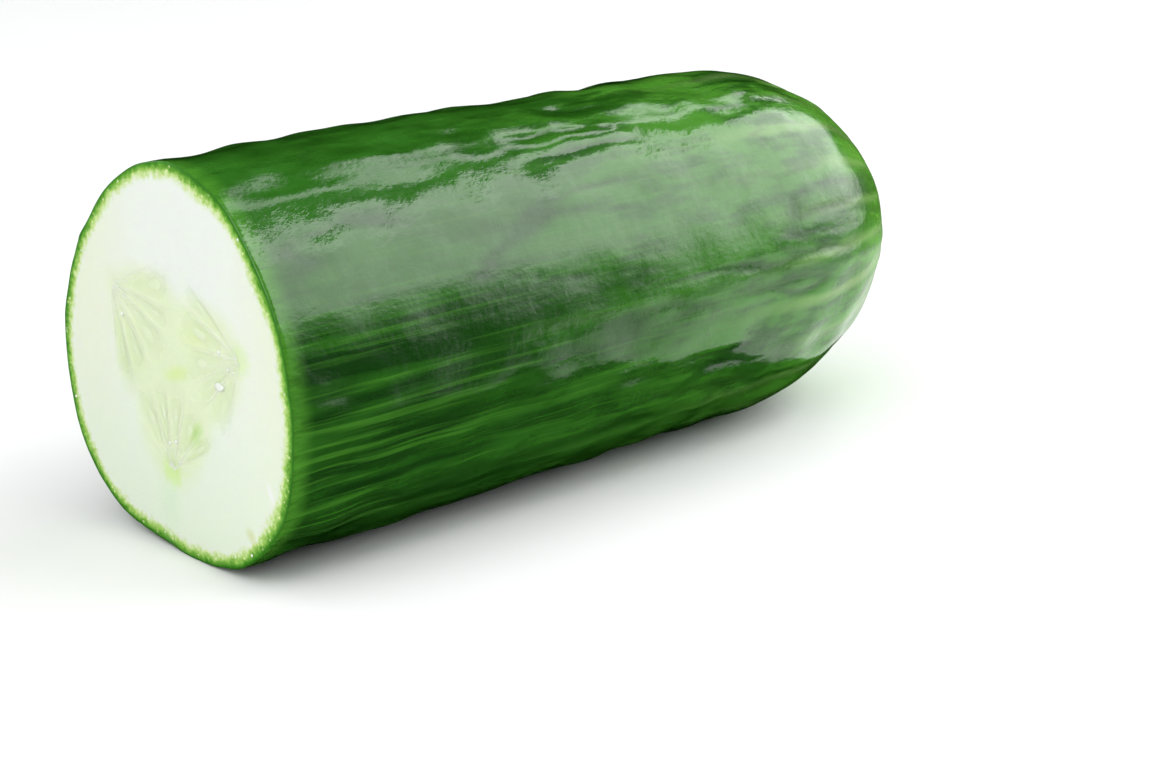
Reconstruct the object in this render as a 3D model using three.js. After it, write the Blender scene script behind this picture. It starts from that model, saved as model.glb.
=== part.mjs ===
// A cut cucumber: the end piece of a long cucumber, cut square across and lying on its flattest side.
// The body runs along +X from the cut face to the round blossom end. It grew as one piece, so it is one
// solid. Its ribs and bumps are raised by formula, and the seed pockets are sunk into the cut face.
import * as THREE from 'three';

const TAU = 2 * Math.PI;
const GOLDEN_TURN = Math.PI * (3 - Math.sqrt(5));
const radians = THREE.MathUtils.degToRad;

// Driving dimensions of the body, in millimetres. Angles are about the body's axis, from +Y towards +Z.
const LENGTH = 115;
const RADIUS = 23.8;
const NARROWING = 0.033; // share of the radius that is lost by the far end
const NARROWING_POWER = 1.5;
const DOME_START = 83;
const DOME_POWER = 1.9;
const REST_DEPTH = 22.85; // from the axis down to the flat spot that the piece rests on

// The section is a rounded triangle at the cut face, with weaker lobes that make it uneven. Each set of
// lobes has its height, the angle of one crest, and the share of it that is lost by the far end.
const LOBES = [
  { count: 2, height: 0.3, angle: radians(-72), fading: 0 },
  { count: 3, height: 1.0, angle: radians(96), fading: 1 },
  { count: 4, height: 0.15, angle: radians(-40), fading: 1 },
  { count: 5, height: 0.15, angle: radians(18), fading: 1 },
];

// Shallow ribs run along the body.
const RIBS = 12;
const RIB_HEIGHT = 0.14;
const MEAN_CREST = 3 / 8; // mean of a rib's profile, which leaves the radius as it is
const RIB_SWELL = 0.3; // share by which a rib's height comes and goes along the body
const RIB_SWELL_LENGTH = 70;
const RIB_DRIFT = 0.03; // radians by which the ribs stray from even spacing

// Bumps are a sum of standing waves, each shorter than the last.
const BUMP_WAVES = 9;
const BUMP_HEIGHT = 0.07;
const BUMP_LONGEST = 34;
const BUMP_SHORTENING = 0.84;
const BUMP_FEWEST_ROUND = 3;
const BUMP_ROUND_STEP = 5;
const BUMP_ROUND_RANGE = 9;

// The blossom end closes in a shallow dimple with a small corky button in it.
const DIMPLE_DEPTH = 0.9;
const DIMPLE_RADIUS = 3.4;
const BUTTON_HEIGHT = 0.6;
const BUTTON_RADIUS = 1.5;

// The cut face has three placentas, each with a fan of seed pockets. Radii and angles are from the axis.
const PLACENTAS = [
  { radius: 14.8, angle: radians(33), pockets: 5 },
  { radius: 14.0, angle: radians(162), pockets: 5 },
  { radius: 12.8, angle: radians(276), pockets: 5 },
];
const FAN_HALF_ANGLE = radians(57);
const POCKET_VARIETY = 0.3; // share by which one pocket is wider than the next
const POCKET_START = 2.4; // from the placenta
const POCKET_GAP = radians(3); // wall between two pockets of a fan
const POCKET_END_GAP = 0.7; // wall between two fans
const POCKET_DEPTH = 0.8;
const CORE_GAP = 2.2; // from the middle pocket's end to the axis
const CORE_LEAN = 0.3; // radians by which a pocket leans past the axis before it needs no such gap
const PLACENTA_RADIUS = 1.3;
const PLACENTA_DEPTH = 0.4;
const CORE_SPOT_RADIUS = 0.9;
const CORE_RADIUS = 17.6; // a circle on the cut face that goes round all the pockets

// How finely the surface is divided.
const COLUMNS = 84;
const ROW_STEP = 2.45;
const TIP_STEP = 0.9;
const PROFILE_SAMPLES = 400;
const POCKET_POINTS = 16;
const SPOT_POINTS = 10;

// The rings of a pocket, from its rim to the seed in it: share of the outline's size, and share of the depth.
const POCKET_RINGS = [
  { size: 0.86, depth: 1 },
  { size: 0.7, depth: 1 },
  { size: 0.56, depth: 0.45 },
  { size: 0.28, depth: 0.2 },
];
const SEED_TOP = 0.14; // share of the pocket's depth at which the seed's middle lies

const positions = [];
const triangles = [];

/** Adds a point and returns its number. */
function addPoint(x, y, z) {
  positions.push(x, y, z);
  return positions.length / 3 - 1;
}

/** Joins two rings, going round both the same way. The inner ring may have half as many points. */
function joinRings(outer, inner) {
  const halved = inner.length * 2 === outer.length;
  outer.forEach((point, i) => {
    const next = outer[(i + 1) % outer.length];
    if (!halved) {
      const across = inner[(i + 1) % inner.length];
      triangles.push(point, next, across, point, across, inner[i]);
      return;
    }
    const across = inner[Math.ceil(i / 2) % inner.length];
    triangles.push(point, next, across);
    if (i % 2 === 0) {
      triangles.push(next, inner[(i / 2 + 1) % inner.length], across);
    }
  });
}

/** Closes a ring with a point in its middle. */
function closeRing(ring, middle) {
  ring.forEach((point, i) => triangles.push(point, ring[(i + 1) % ring.length], middle));
}

/** Share of the full radius that the body has at a distance from the cut face. */
function bodyShare(x) {
  const narrowing = 1 - NARROWING * (x / LENGTH) ** NARROWING_POWER;
  const rise = Math.min(1, Math.max(0, (x - DOME_START) / (LENGTH - DOME_START)));
  return narrowing * (1 - rise ** DOME_POWER) ** (1 / DOME_POWER);
}

/** Distances from the cut face at which the body's rows lie, closer together towards the tip. */
function rowPlaces() {
  const rows = [0];
  let travelled = 0;
  let last = { x: 0, radius: RADIUS * bodyShare(0) };
  for (let i = 1; i < PROFILE_SAMPLES; i += 1) {
    const x = LENGTH * Math.sin((TAU / 4) * (i / PROFILE_SAMPLES));
    const here = { x, radius: RADIUS * bodyShare(x) };
    travelled += Math.hypot(here.x - last.x, here.radius - last.radius);
    last = here;
    if (travelled >= Math.min(ROW_STEP, TIP_STEP + 0.25 * here.radius)) {
      rows.push(x);
      travelled = 0;
    }
  }
  return rows;
}

/** Angle of a column. The columns drift with the ribs, so that every rib's crest lies on one. */
function columnAngle(column) {
  const turn = (TAU * column) / COLUMNS;
  return turn + RIB_DRIFT * (Math.sin(2 * turn + 1.1) + Math.sin(5 * turn + 0.4));
}

/** Height of the ribs at a column: rounded crests, with flats between them. */
function ribHeight(column, x) {
  const place = (column * RIBS) / COLUMNS;
  const crest = Math.cos(Math.PI * place) ** 4;
  const rib = Math.round(place) % RIBS;
  const swell = Math.sin((TAU * x) / RIB_SWELL_LENGTH + GOLDEN_TURN * rib);
  return RIB_HEIGHT * (crest * (1 + RIB_SWELL * swell) - MEAN_CREST);
}

/** Height of the bumps at an angle. */
function bumpHeight(angle, x) {
  let height = 0;
  for (let wave = 0; wave < BUMP_WAVES; wave += 1) {
    const length = BUMP_LONGEST * BUMP_SHORTENING ** wave;
    const round = BUMP_FEWEST_ROUND + ((wave * BUMP_ROUND_STEP) % BUMP_ROUND_RANGE);
    const along = Math.cos((TAU * x) / length + GOLDEN_TURN * (2 * wave + 1));
    const around = Math.cos(round * angle + GOLDEN_TURN * wave * wave);
    height += BUMP_HEIGHT * along * around;
  }
  return height;
}

/** Height of the section's lobes at an angle. */
function lobeHeight(angle, x) {
  const heights = LOBES.map(
    (lobe) => lobe.height * (1 - (lobe.fading * x) / LENGTH) * Math.cos(lobe.count * (angle - lobe.angle)),
  );
  return heights.reduce((sum, height) => sum + height);
}

/** Radius of the section at a column, where the body is at its full size. */
function sectionRadius(column, x) {
  const angle = columnAngle(column);
  return RADIUS + lobeHeight(angle, x) + ribHeight(column, x) + bumpHeight(angle, x);
}

/** How far the tip is pressed in, or raised by its button, at a distance from the axis. */
function tipShift(radius) {
  const dimple = DIMPLE_DEPTH * Math.exp(-((radius / DIMPLE_RADIUS) ** 2));
  const button = BUTTON_HEIGHT * Math.exp(-((radius / BUTTON_RADIUS) ** 2));
  return button - dimple;
}

/** One row of the body, with fewer points where it is small. */
function addRow(x) {
  const share = bodyShare(x);
  const every = share > 0.55 ? 1 : share > 0.25 ? 2 : 4;
  const ring = [];
  for (let column = 0; column < COLUMNS; column += every) {
    const radius = share * sectionRadius(column, x);
    const angle = columnAngle(column);
    const height = Math.max(-REST_DEPTH, radius * Math.sin(angle));
    ring.push(addPoint(x + tipShift(radius), radius * Math.cos(angle), height));
  }
  return ring;
}

/** The body's side, from the rim of the cut face to the tip. Returns the rim. */
function addBody() {
  const rows = rowPlaces().map(addRow);
  rows.slice(1).forEach((row, i) => joinRings(rows[i], row));
  closeRing(rows.at(-1), addPoint(LENGTH + tipShift(0), 0, 0));
  return rows[0];
}

/** Where a placenta lies on the cut face, across (to the left of someone who faces +X) and up. */
function placentaPlace(placenta) {
  const direction = new THREE.Vector2(Math.cos(placenta.angle), Math.sin(placenta.angle));
  return direction.multiplyScalar(placenta.radius);
}

/** How far a ray from a placenta runs before it meets the wall between two fans, or the axis. */
function rayLength(place, direction, wallAngle) {
  const wall = new THREE.Vector2(Math.cos(wallAngle), Math.sin(wallAngle));
  return -place.cross(wall) / direction.cross(wall);
}

/** The angle halfway between two placentas, going round from the first to the second. */
function wallBetween(first, second) {
  const turn = (second.angle - first.angle + TAU) % TAU;
  return first.angle + turn / 2;
}

/** A fan of pockets. Each one is a wedge with round ends, given by its start, its end and its half angle. */
function fanPockets(placenta, number) {
  const place = placentaPlace(placenta);
  const count = PLACENTAS.length;
  const walls = [
    wallBetween(placenta, PLACENTAS[(number + 1) % count]),
    wallBetween(PLACENTAS[(number + count - 1) % count], placenta),
  ];
  const weights = Array.from({ length: placenta.pockets }, (_, i) => (
    1 + POCKET_VARIETY * Math.sin(GOLDEN_TURN * (number * placenta.pockets + i + 1))
  ));
  const total = weights.reduce((sum, weight) => sum + weight, 0);
  let edge = -FAN_HALF_ANGLE;
  return weights.map((weight) => {
    const width = (2 * FAN_HALF_ANGLE * weight) / total;
    const lean = edge + width / 2;
    edge += width;
    const angle = placenta.angle + Math.PI + lean;
    const direction = new THREE.Vector2(Math.cos(angle), Math.sin(angle));
    const toWall = rayLength(place, direction, walls[lean < 0 ? 0 : 1]) - POCKET_END_GAP;
    const toCore = placenta.radius - CORE_GAP * Math.exp(-((lean / CORE_LEAN) ** 2));
    const end = Math.min(toWall, toCore);
    return { place, direction, start: POCKET_START, end, halfAngle: (width - POCKET_GAP) / 2 };
  });
}

/** The points of a pocket's outline, shrunk towards its middle. */
function pocketOutline(pocket, size) {
  const side = new THREE.Vector2(-pocket.direction.y, pocket.direction.x);
  const middle = (pocket.start + pocket.end) / 2;
  return Array.from({ length: POCKET_POINTS }, (_, i) => {
    const turn = (TAU * i) / POCKET_POINTS;
    const along = middle + (size * Math.cos(turn) * (pocket.end - pocket.start)) / 2;
    const bulge = Math.sign(Math.sin(turn)) * Math.abs(Math.sin(turn)) ** 0.7;
    const across = size * bulge * along * Math.tan(pocket.halfAngle);
    return pocket.place.clone().addScaledVector(pocket.direction, along).addScaledVector(side, across);
  });
}

/** A ring that goes round the other way from the same first point. */
function turnedRound([first, ...others]) {
  return [first, ...others.reverse()];
}

/** Adds an outline at a depth under the cut face, as a ring that goes round as seen facing the cut. */
function addFaceRing(outline, depth) {
  return turnedRound(outline.map((point) => addPoint(depth, point.x, point.y)));
}

/** Sinks a pocket into the cut face, with its seed raised in it. Returns the pocket's rim. */
function addPocket(pocket) {
  const rim = addFaceRing(pocketOutline(pocket, 1), 0);
  let outer = rim;
  POCKET_RINGS.forEach(({ size, depth }) => {
    const inner = addFaceRing(pocketOutline(pocket, size), depth * POCKET_DEPTH);
    joinRings(outer, inner);
    outer = inner;
  });
  const middle = pocket.place.clone().addScaledVector(pocket.direction, (pocket.start + pocket.end) / 2);
  closeRing(outer, addPoint(SEED_TOP * POCKET_DEPTH, middle.x, middle.y));
  return rim;
}

/** Sinks a small round dimple into the cut face. Returns its rim. */
function addSpot(place, radius) {
  const ring = (size) => Array.from({ length: SPOT_POINTS }, (_, i) => {
    const turn = (TAU * i) / SPOT_POINTS;
    return new THREE.Vector2(Math.cos(turn), Math.sin(turn)).multiplyScalar(size * radius).add(place);
  });
  const rim = addFaceRing(ring(1), 0);
  const floor = addFaceRing(ring(0.5), PLACENTA_DEPTH);
  joinRings(rim, floor);
  closeRing(floor, addPoint(PLACENTA_DEPTH, place.x, place.y));
  return rim;
}

/** Fills the flat of the cut face: a band inside its rim, and the core round the rims of the hollows. */
function fillFace(rim, hollows) {
  const circle = Array.from({ length: COLUMNS / 2 }, (_, i) => {
    const angle = columnAngle(2 * i);
    return new THREE.Vector2(Math.cos(angle), Math.sin(angle)).multiplyScalar(CORE_RADIUS);
  });
  const core = addFaceRing(circle, 0);
  joinRings(turnedRound(rim), core);

  const flatten = (ring) => ring.map((i) => new THREE.Vector2(-positions[3 * i + 1], positions[3 * i + 2]));
  const points = [core, ...hollows].flat();
  const flat = flatten(points);
  THREE.ShapeUtils.triangulateShape(flatten(core), hollows.map(flatten)).forEach(([a, b, c]) => {
    const turn = flat[b].clone().sub(flat[a]).cross(flat[c].clone().sub(flat[a]));
    triangles.push(points[a], points[turn > 0 ? b : c], points[turn > 0 ? c : b]);
  });
}

/** The whole solid, with its origin under the middle of its box. */
function cucumberGeometry() {
  const rim = addBody();
  const pockets = PLACENTAS.flatMap(fanPockets).map(addPocket);
  const spots = PLACENTAS.map((placenta) => addSpot(placentaPlace(placenta), PLACENTA_RADIUS));
  const coreSpot = addSpot(new THREE.Vector2(0, 0), CORE_SPOT_RADIUS);
  fillFace(rim, [...pockets, ...spots, coreSpot]);

  const geometry = new THREE.BufferGeometry();
  geometry.setAttribute('position', new THREE.Float32BufferAttribute(positions, 3));
  geometry.setIndex(triangles);
  geometry.computeBoundingBox();
  const middle = geometry.boundingBox.getCenter(new THREE.Vector3());
  geometry.translate(-middle.x, -middle.y, -geometry.boundingBox.min.z);
  geometry.computeVertexNormals();
  return geometry;
}

const skin = new THREE.MeshStandardMaterial({ color: 0x2f6b22, roughness: 0.32, metalness: 0 });
const cucumber = new THREE.Mesh(cucumberGeometry(), skin);
cucumber.name = 'cucumber';

const part = new THREE.Group();
part.add(cucumber);

export default part;
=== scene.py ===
"""A cut cucumber: the blossom-end piece of a long cucumber, lying on its flattest side.

The body runs along +X from the cut face to the blossom end. Lengths are in millimetres, measured from
the middle of the cut face along the cucumber's axis, and a mesh is turned into metres in the row's
frame as the last step of its making. Angles are about the axis, from +Y towards +Z.
"""
import logging
import math
from dataclasses import dataclass
from enum import Enum
from typing import Any, Callable, Iterator, Mapping, NamedTuple, Optional, Sequence, Union

import bpy
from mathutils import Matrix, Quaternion, Vector


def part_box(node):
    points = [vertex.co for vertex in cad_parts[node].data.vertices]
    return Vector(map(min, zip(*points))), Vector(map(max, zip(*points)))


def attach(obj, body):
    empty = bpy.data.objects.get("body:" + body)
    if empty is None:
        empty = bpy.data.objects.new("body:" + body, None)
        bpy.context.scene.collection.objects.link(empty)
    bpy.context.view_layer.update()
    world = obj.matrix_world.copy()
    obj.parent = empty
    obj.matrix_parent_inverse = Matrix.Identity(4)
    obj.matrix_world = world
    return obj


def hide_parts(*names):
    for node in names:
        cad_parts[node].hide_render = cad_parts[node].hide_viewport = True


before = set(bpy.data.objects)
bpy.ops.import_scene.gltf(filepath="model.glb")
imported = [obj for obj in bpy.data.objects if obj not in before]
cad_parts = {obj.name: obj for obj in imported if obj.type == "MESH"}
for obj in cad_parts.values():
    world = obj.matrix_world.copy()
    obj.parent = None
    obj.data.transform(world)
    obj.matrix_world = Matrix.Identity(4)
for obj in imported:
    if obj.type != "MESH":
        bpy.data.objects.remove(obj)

log = logging.getLogger("cucumber")

TAU = 2 * math.pi
GOLDEN_TURN = math.pi * (3 - math.sqrt(5))
METRES = 0.001  # in a millimetre
MILLIMETRES = 1000.0  # in a metre
NODE_NAME = "cucumber"
BODY_NAME = "root"
FINE_NOISE = (3.0, 0.6)  # finer noises under the first, and how strong each is against the last
CRUMBLY_NOISE = (4.0, 0.65)
CRACKED_NOISE = (3.0, 0.65)
WANDERING_NOISE = (2.0, 0.55, 0.4)  # the third number warps it
PATCHY_NOISE = (3.0, 0.55, 0.3)
PATCH_TONES = (0.35, 0.65)  # tones of a noise at which a patch begins and is full

Colour = tuple[float, float, float]
Triple = tuple[float, float, float]
Grain = tuple[float, float]  # lengths of a pattern's grain along and across the cucumber
Span = tuple[float, float]  # where a step starts and where it ends, or the two ends of a blend


class Tissue(Enum):
    """The kinds of tissue that a piece can take its finish from."""

    SKIN = "skin"
    FLESH = "flesh"
    SEED = "seed"


class Mark(Enum):
    """What is stored at each point of the body, for its shape and its finishes."""

    ROW = "row"
    FACE = "on_face"
    TURN = "turn"
    UNROLLED = "unrolled"
    SPOT = "face_place"
    UNDER_SKIN = "under_skin"
    POCKET = "pocket"
    TONE = "tone"
    CREASE = "crease"


# ---------------------------------------------------------------------------------------------------
# Node sums
# ---------------------------------------------------------------------------------------------------


class Field:
    """A value that changes over a surface, as an output of a node.

    Python's own sums on a field add Math nodes, and so do the methods that FIELD_SUMS names.
    """

    def __init__(self, tree: bpy.types.NodeTree, socket: bpy.types.NodeSocket) -> None:
        """Keeps the tree and the socket that puts the value out."""
        self.tree = tree
        self.socket = socket

    def math(self, operation: str, *values: Any) -> "Field":
        """Puts values through a Math node.

        Args:
            operation: The Math node's operation.
            values: What goes into the node, in order.

        Returns:
            The node's result.
        """
        node = self.tree.nodes.new("ShaderNodeMath")
        node.operation = operation
        for socket, value in zip(node.inputs, values):
            plug(self.tree, socket, value)
        return Field(self.tree, node.outputs[0])

    def bell(self, width: Any) -> "Field":
        """1 where the value is 0, falling off on both sides over a width."""
        scaled = self / width
        return (scaled * scaled * -1.0).exp()

    def blend(self, low: Any, high: Any) -> "Field":
        """low where this value is 0 and high where it is 1."""
        return self * (high - low) + low

    def step(self, start: Any, end: Any) -> "Field":
        """A smooth step.

        Args:
            start: The value at which the result is 0.
            end: The value at which the result is 1. It may be the smaller of the two.

        Returns:
            The step, between 0 and 1.
        """
        node = self.tree.nodes.new("ShaderNodeMapRange")
        node.interpolation_type = "SMOOTHSTEP"
        for name, value in {"Value": self, "From Min": start, "From Max": end}.items():
            plug(self.tree, node.inputs[name], value)
        return Field(self.tree, node.outputs[0])


def sum_method(operation: str, swapped: bool = False) -> Callable[..., Field]:
    """Makes a method of a field from a Math node.

    Args:
        operation: The Math node's operation.
        swapped: Whether the field comes last in it, as it does in 1 - field.

    Returns:
        The method.
    """

    def method(field: Field, *others: Any) -> Field:
        """Puts the field and the other values through the node."""
        values = (*others, field) if swapped else (field, *others)
        return field.math(operation, *values)

    return method


FIELD_SUMS = {
    "__add__": "ADD", "__sub__": "SUBTRACT", "__mul__": "MULTIPLY", "__truediv__": "DIVIDE",
    "__pow__": "POWER", "__mod__": "FLOORED_MODULO", "__lt__": "LESS_THAN", "__gt__": "GREATER_THAN",
    "__abs__": "ABSOLUTE", "sin": "SINE", "cos": "COSINE", "exp": "EXPONENT", "root": "SQRT",
    "floor": "FLOOR", "round": "ROUND", "at_least": "MAXIMUM", "at_most": "MINIMUM",
}
SWAPPED_SUMS = {"__radd__": "ADD", "__rsub__": "SUBTRACT", "__rmul__": "MULTIPLY"}
for label, node_operation in FIELD_SUMS.items():
    setattr(Field, label, sum_method(node_operation))
for label, node_operation in SWAPPED_SUMS.items():
    setattr(Field, label, sum_method(node_operation, swapped=True))


def plug(tree: bpy.types.NodeTree, socket: bpy.types.NodeSocket, value: Any) -> None:
    """Links a socket to a field or another socket, or sets it to a plain value.

    Args:
        tree: The tree that the socket is in.
        socket: The socket.
        value: What goes into it.
    """
    if isinstance(value, Field):
        value = value.socket
    if isinstance(value, bpy.types.NodeSocket):
        tree.links.new(value, socket)
    elif socket.type == "RGBA":
        socket.default_value = (*value[:3], 1.0)
    else:
        socket.default_value = value


class Bench:
    """A node tree under construction, of a shape or of a finish."""

    def __init__(self, tree: bpy.types.NodeTree) -> None:
        """Starts on a tree."""
        self.tree = tree

    def node(self, kind: str, values: Optional[Mapping] = None, **settings: Any) -> bpy.types.Node:
        """Adds a node.

        Args:
            kind: The node's type name.
            values: What goes into its sockets, by name or place.
            settings: Its own settings.

        Returns:
            The node.
        """
        made = self.tree.nodes.new(kind)
        for name, setting in settings.items():
            setattr(made, name, setting)
        for name, value in (values or {}).items():
            plug(self.tree, made.inputs[name], value)
        return made

    def get(self, kind: str, values: Optional[Mapping] = None, output: Union[int, str] = 0,
            **settings: Any) -> Field:
        """Adds a node and returns one of its outputs as a field."""
        return Field(self.tree, self.node(kind, values, **settings).outputs[output])

    def vector(self, x: Any, y: Any, z: Any) -> Field:
        """A vector of three values."""
        return self.get("ShaderNodeCombineXYZ", {0: x, 1: y, 2: z})

    def split(self, vector: Any) -> tuple[Field, Field, Field]:
        """The three values of a vector."""
        node = self.node("ShaderNodeSeparateXYZ", {0: vector})
        return tuple(Field(self.tree, output) for output in node.outputs)

    def vector_sum(self, operation: str, *values: Any, output: str = "Vector") -> Field:
        """Puts vectors through a Vector Math node."""
        return self.get("ShaderNodeVectorMath", dict(enumerate(values)), output, operation=operation)

    def shares(self, vector: Any, sizes: Triple) -> Field:
        """A vector measured in these sizes along, across and up."""
        return self.vector_sum("MULTIPLY", vector, tuple(1 / size for size in sizes))

    def stretched(self, vector: Any, along: float, across: Optional[float] = None) -> Field:
        """A place measured in grains of these lengths along and across the cucumber, or of one length."""
        across = across or along
        return self.shares(vector, (along, across, across))

    def noise(self, vector: Any, detail: float = 2.0, rough: float = 0.5, warp: float = 0.0) -> Field:
        """Smooth noise between 0 and 1, a grain to each unit of the vector."""
        values = {"Vector": vector, "Scale": 1.0, "Detail": detail, "Roughness": rough, "Distortion": warp}
        return self.get("ShaderNodeTexNoise", values)

    def swing(self, vector: Any, detail: float = 2.0, rough: float = 0.5) -> Field:
        """Smooth noise on both sides of 0, between -0.5 and 0.5."""
        return self.noise(vector, detail, rough) - 0.5

    def mix(self, amount: Any, first: Any, second: Any) -> Field:
        """The first colour where the amount is 0 and the second where it is 1."""
        values = {0: amount, 6: first, 7: second}
        return self.get("ShaderNodeMix", values, 2, data_type="RGBA")


# ---------------------------------------------------------------------------------------------------
# Sizes
# ---------------------------------------------------------------------------------------------------


@dataclass(frozen=True)
class Placenta:
    """Where one fan of seeds grows from on the cut face."""

    radius: float
    angle: float
    tones: tuple[float, ...]  # how strongly each of its pockets stands out, going round it
    greenness: float  # how green it is where it joins the flesh

    @property
    def pockets(self) -> int:
        """How many pockets it has."""
        return len(self.tones)

    @property
    def place(self) -> tuple[float, float]:
        """Its place across and up from the axis."""
        return self.radius * math.cos(self.angle), self.radius * math.sin(self.angle)


@dataclass(frozen=True)
class Pocket:
    """A seed pocket: a wedge with round ends, which opens away from its placenta."""

    fan: int
    place: tuple[float, float]
    angle: float
    start: float
    end: float
    half_angle: float
    tone: float

    @property
    def facing(self) -> tuple[float, float]:
        """The direction it runs in, across and up."""
        return math.cos(self.angle), math.sin(self.angle)

    def point(self, along: float, across: float = 0.0) -> tuple[float, float]:
        """A place in the pocket, from lengths along and across it."""
        (y, z), (dy, dz) = self.place, self.facing
        return y + dy * along - dz * across, z + dz * along + dy * across


@dataclass(frozen=True)
class Lobes:
    """Even bulges round the section, which may fade out towards the blossom end."""

    count: int
    height: float
    angle: float  # of one crest
    fading: float  # share of the height that is lost by the far end


@dataclass(frozen=True)
class BodyPlan:
    """The cucumber's own measurements, the same as its solid's."""

    length: float = 115.0
    radius: float = 23.8
    narrowing: float = 0.033
    narrowing_power: float = 1.5
    dome_start: float = 83.0
    dome_power: float = 1.9
    rest_depth: float = 22.85
    axis_across: float = -0.288  # the axis is this far from the middle of the row's frame
    lobes: tuple[Lobes, ...] = (
        Lobes(2, 0.3, math.radians(-72), 0.0),
        Lobes(3, 1.0, math.radians(96), 1.0),
        Lobes(4, 0.15, math.radians(-40), 1.0),
        Lobes(5, 0.15, math.radians(18), 1.0),
    )
    ribs: int = 12
    rib_height: float = 0.14
    mean_crest: float = 3 / 8
    rib_swell: float = 0.3
    rib_swell_length: float = 70.0
    rib_drift: float = 0.03
    bump_waves: int = 9
    bump_height: float = 0.07
    bump_longest: float = 34.0
    bump_shortening: float = 0.84
    bump_fewest_round: int = 3
    bump_round_step: int = 5
    bump_round_range: int = 9
    dimple_depth: float = 0.9
    dimple_radius: float = 3.4
    button_height: float = 0.6
    button_radius: float = 1.5
    placentas: tuple[Placenta, ...] = (
        Placenta(14.8, math.radians(33), (0.45, 0.35, 0.45, 0.55, 0.95), 0.15),
        Placenta(14.0, math.radians(162), (0.45, 0.6, 0.4, 0.8, 0.4), 0.4),
        Placenta(12.8, math.radians(276), (0.3, 0.6, 0.45, 0.75, 1.0), 0.85),
    )
    fan_half_angle: float = math.radians(57)
    pocket_variety: float = 0.3
    pocket_start: float = 2.4
    pocket_gap: float = math.radians(1.5)
    pocket_end_gap: float = 0.7
    core_gap: float = 2.2
    core_lean: float = 0.3

    def cut_at(self) -> float:
        """Where the cut face stands in the row's frame, in millimetres along X."""
        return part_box(NODE_NAME)[0][0] * MILLIMETRES

    def origin(self) -> Triple:
        """The middle of the cut face in the row's frame, in millimetres."""
        return self.cut_at(), self.axis_across, self.rest_depth

    def tip(self, radius: Field) -> Field:
        """How far the button stands out of the blossom end, less how deep its dimple is."""
        button = radius.bell(self.button_radius) * self.button_height
        return button - radius.bell(self.dimple_radius) * self.dimple_depth

    def wall_between(self, first: Placenta, second: Placenta) -> float:
        """The angle halfway between two placentas, going round from the first to the second."""
        return first.angle + ((second.angle - first.angle) % TAU) / 2

    def reach(self, fan: Placenta, angle: float, wall: float) -> float:
        """How far a ray from a placenta runs before it meets the wall between two fans."""
        y, z = fan.place
        ray = math.cos(angle) * math.sin(wall) - math.sin(angle) * math.cos(wall)
        return -(y * math.sin(wall) - z * math.cos(wall)) / ray

    def pockets(self) -> Iterator[Pocket]:
        """Every seed pocket of the cut face, fan by fan.

        Returns:
            The pockets, with their place, direction and reach.
        """
        count = len(self.placentas)
        for number, fan in enumerate(self.placentas):
            walls = (
                self.wall_between(fan, self.placentas[(number + 1) % count]),
                self.wall_between(self.placentas[number - 1], fan),
            )
            weights = [
                1 + self.pocket_variety * math.sin(GOLDEN_TURN * (number * fan.pockets + i + 1))
                for i in range(fan.pockets)
            ]
            edge = -self.fan_half_angle
            for weight, tone in zip(weights, fan.tones):
                width = 2 * self.fan_half_angle * weight / sum(weights)
                lean = edge + width / 2
                edge += width
                angle = fan.angle + math.pi + lean
                to_wall = self.reach(fan, angle, walls[0 if lean < 0 else 1]) - self.pocket_end_gap
                to_core = fan.radius - self.core_gap * math.exp(-((lean / self.core_lean) ** 2))
                yield Pocket(number, fan.place, angle, self.pocket_start, min(to_wall, to_core),
                             (width - self.pocket_gap) / 2, tone)


PLAN = BodyPlan()


# ---------------------------------------------------------------------------------------------------
# Shapes from Geometry Nodes
# ---------------------------------------------------------------------------------------------------


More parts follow.
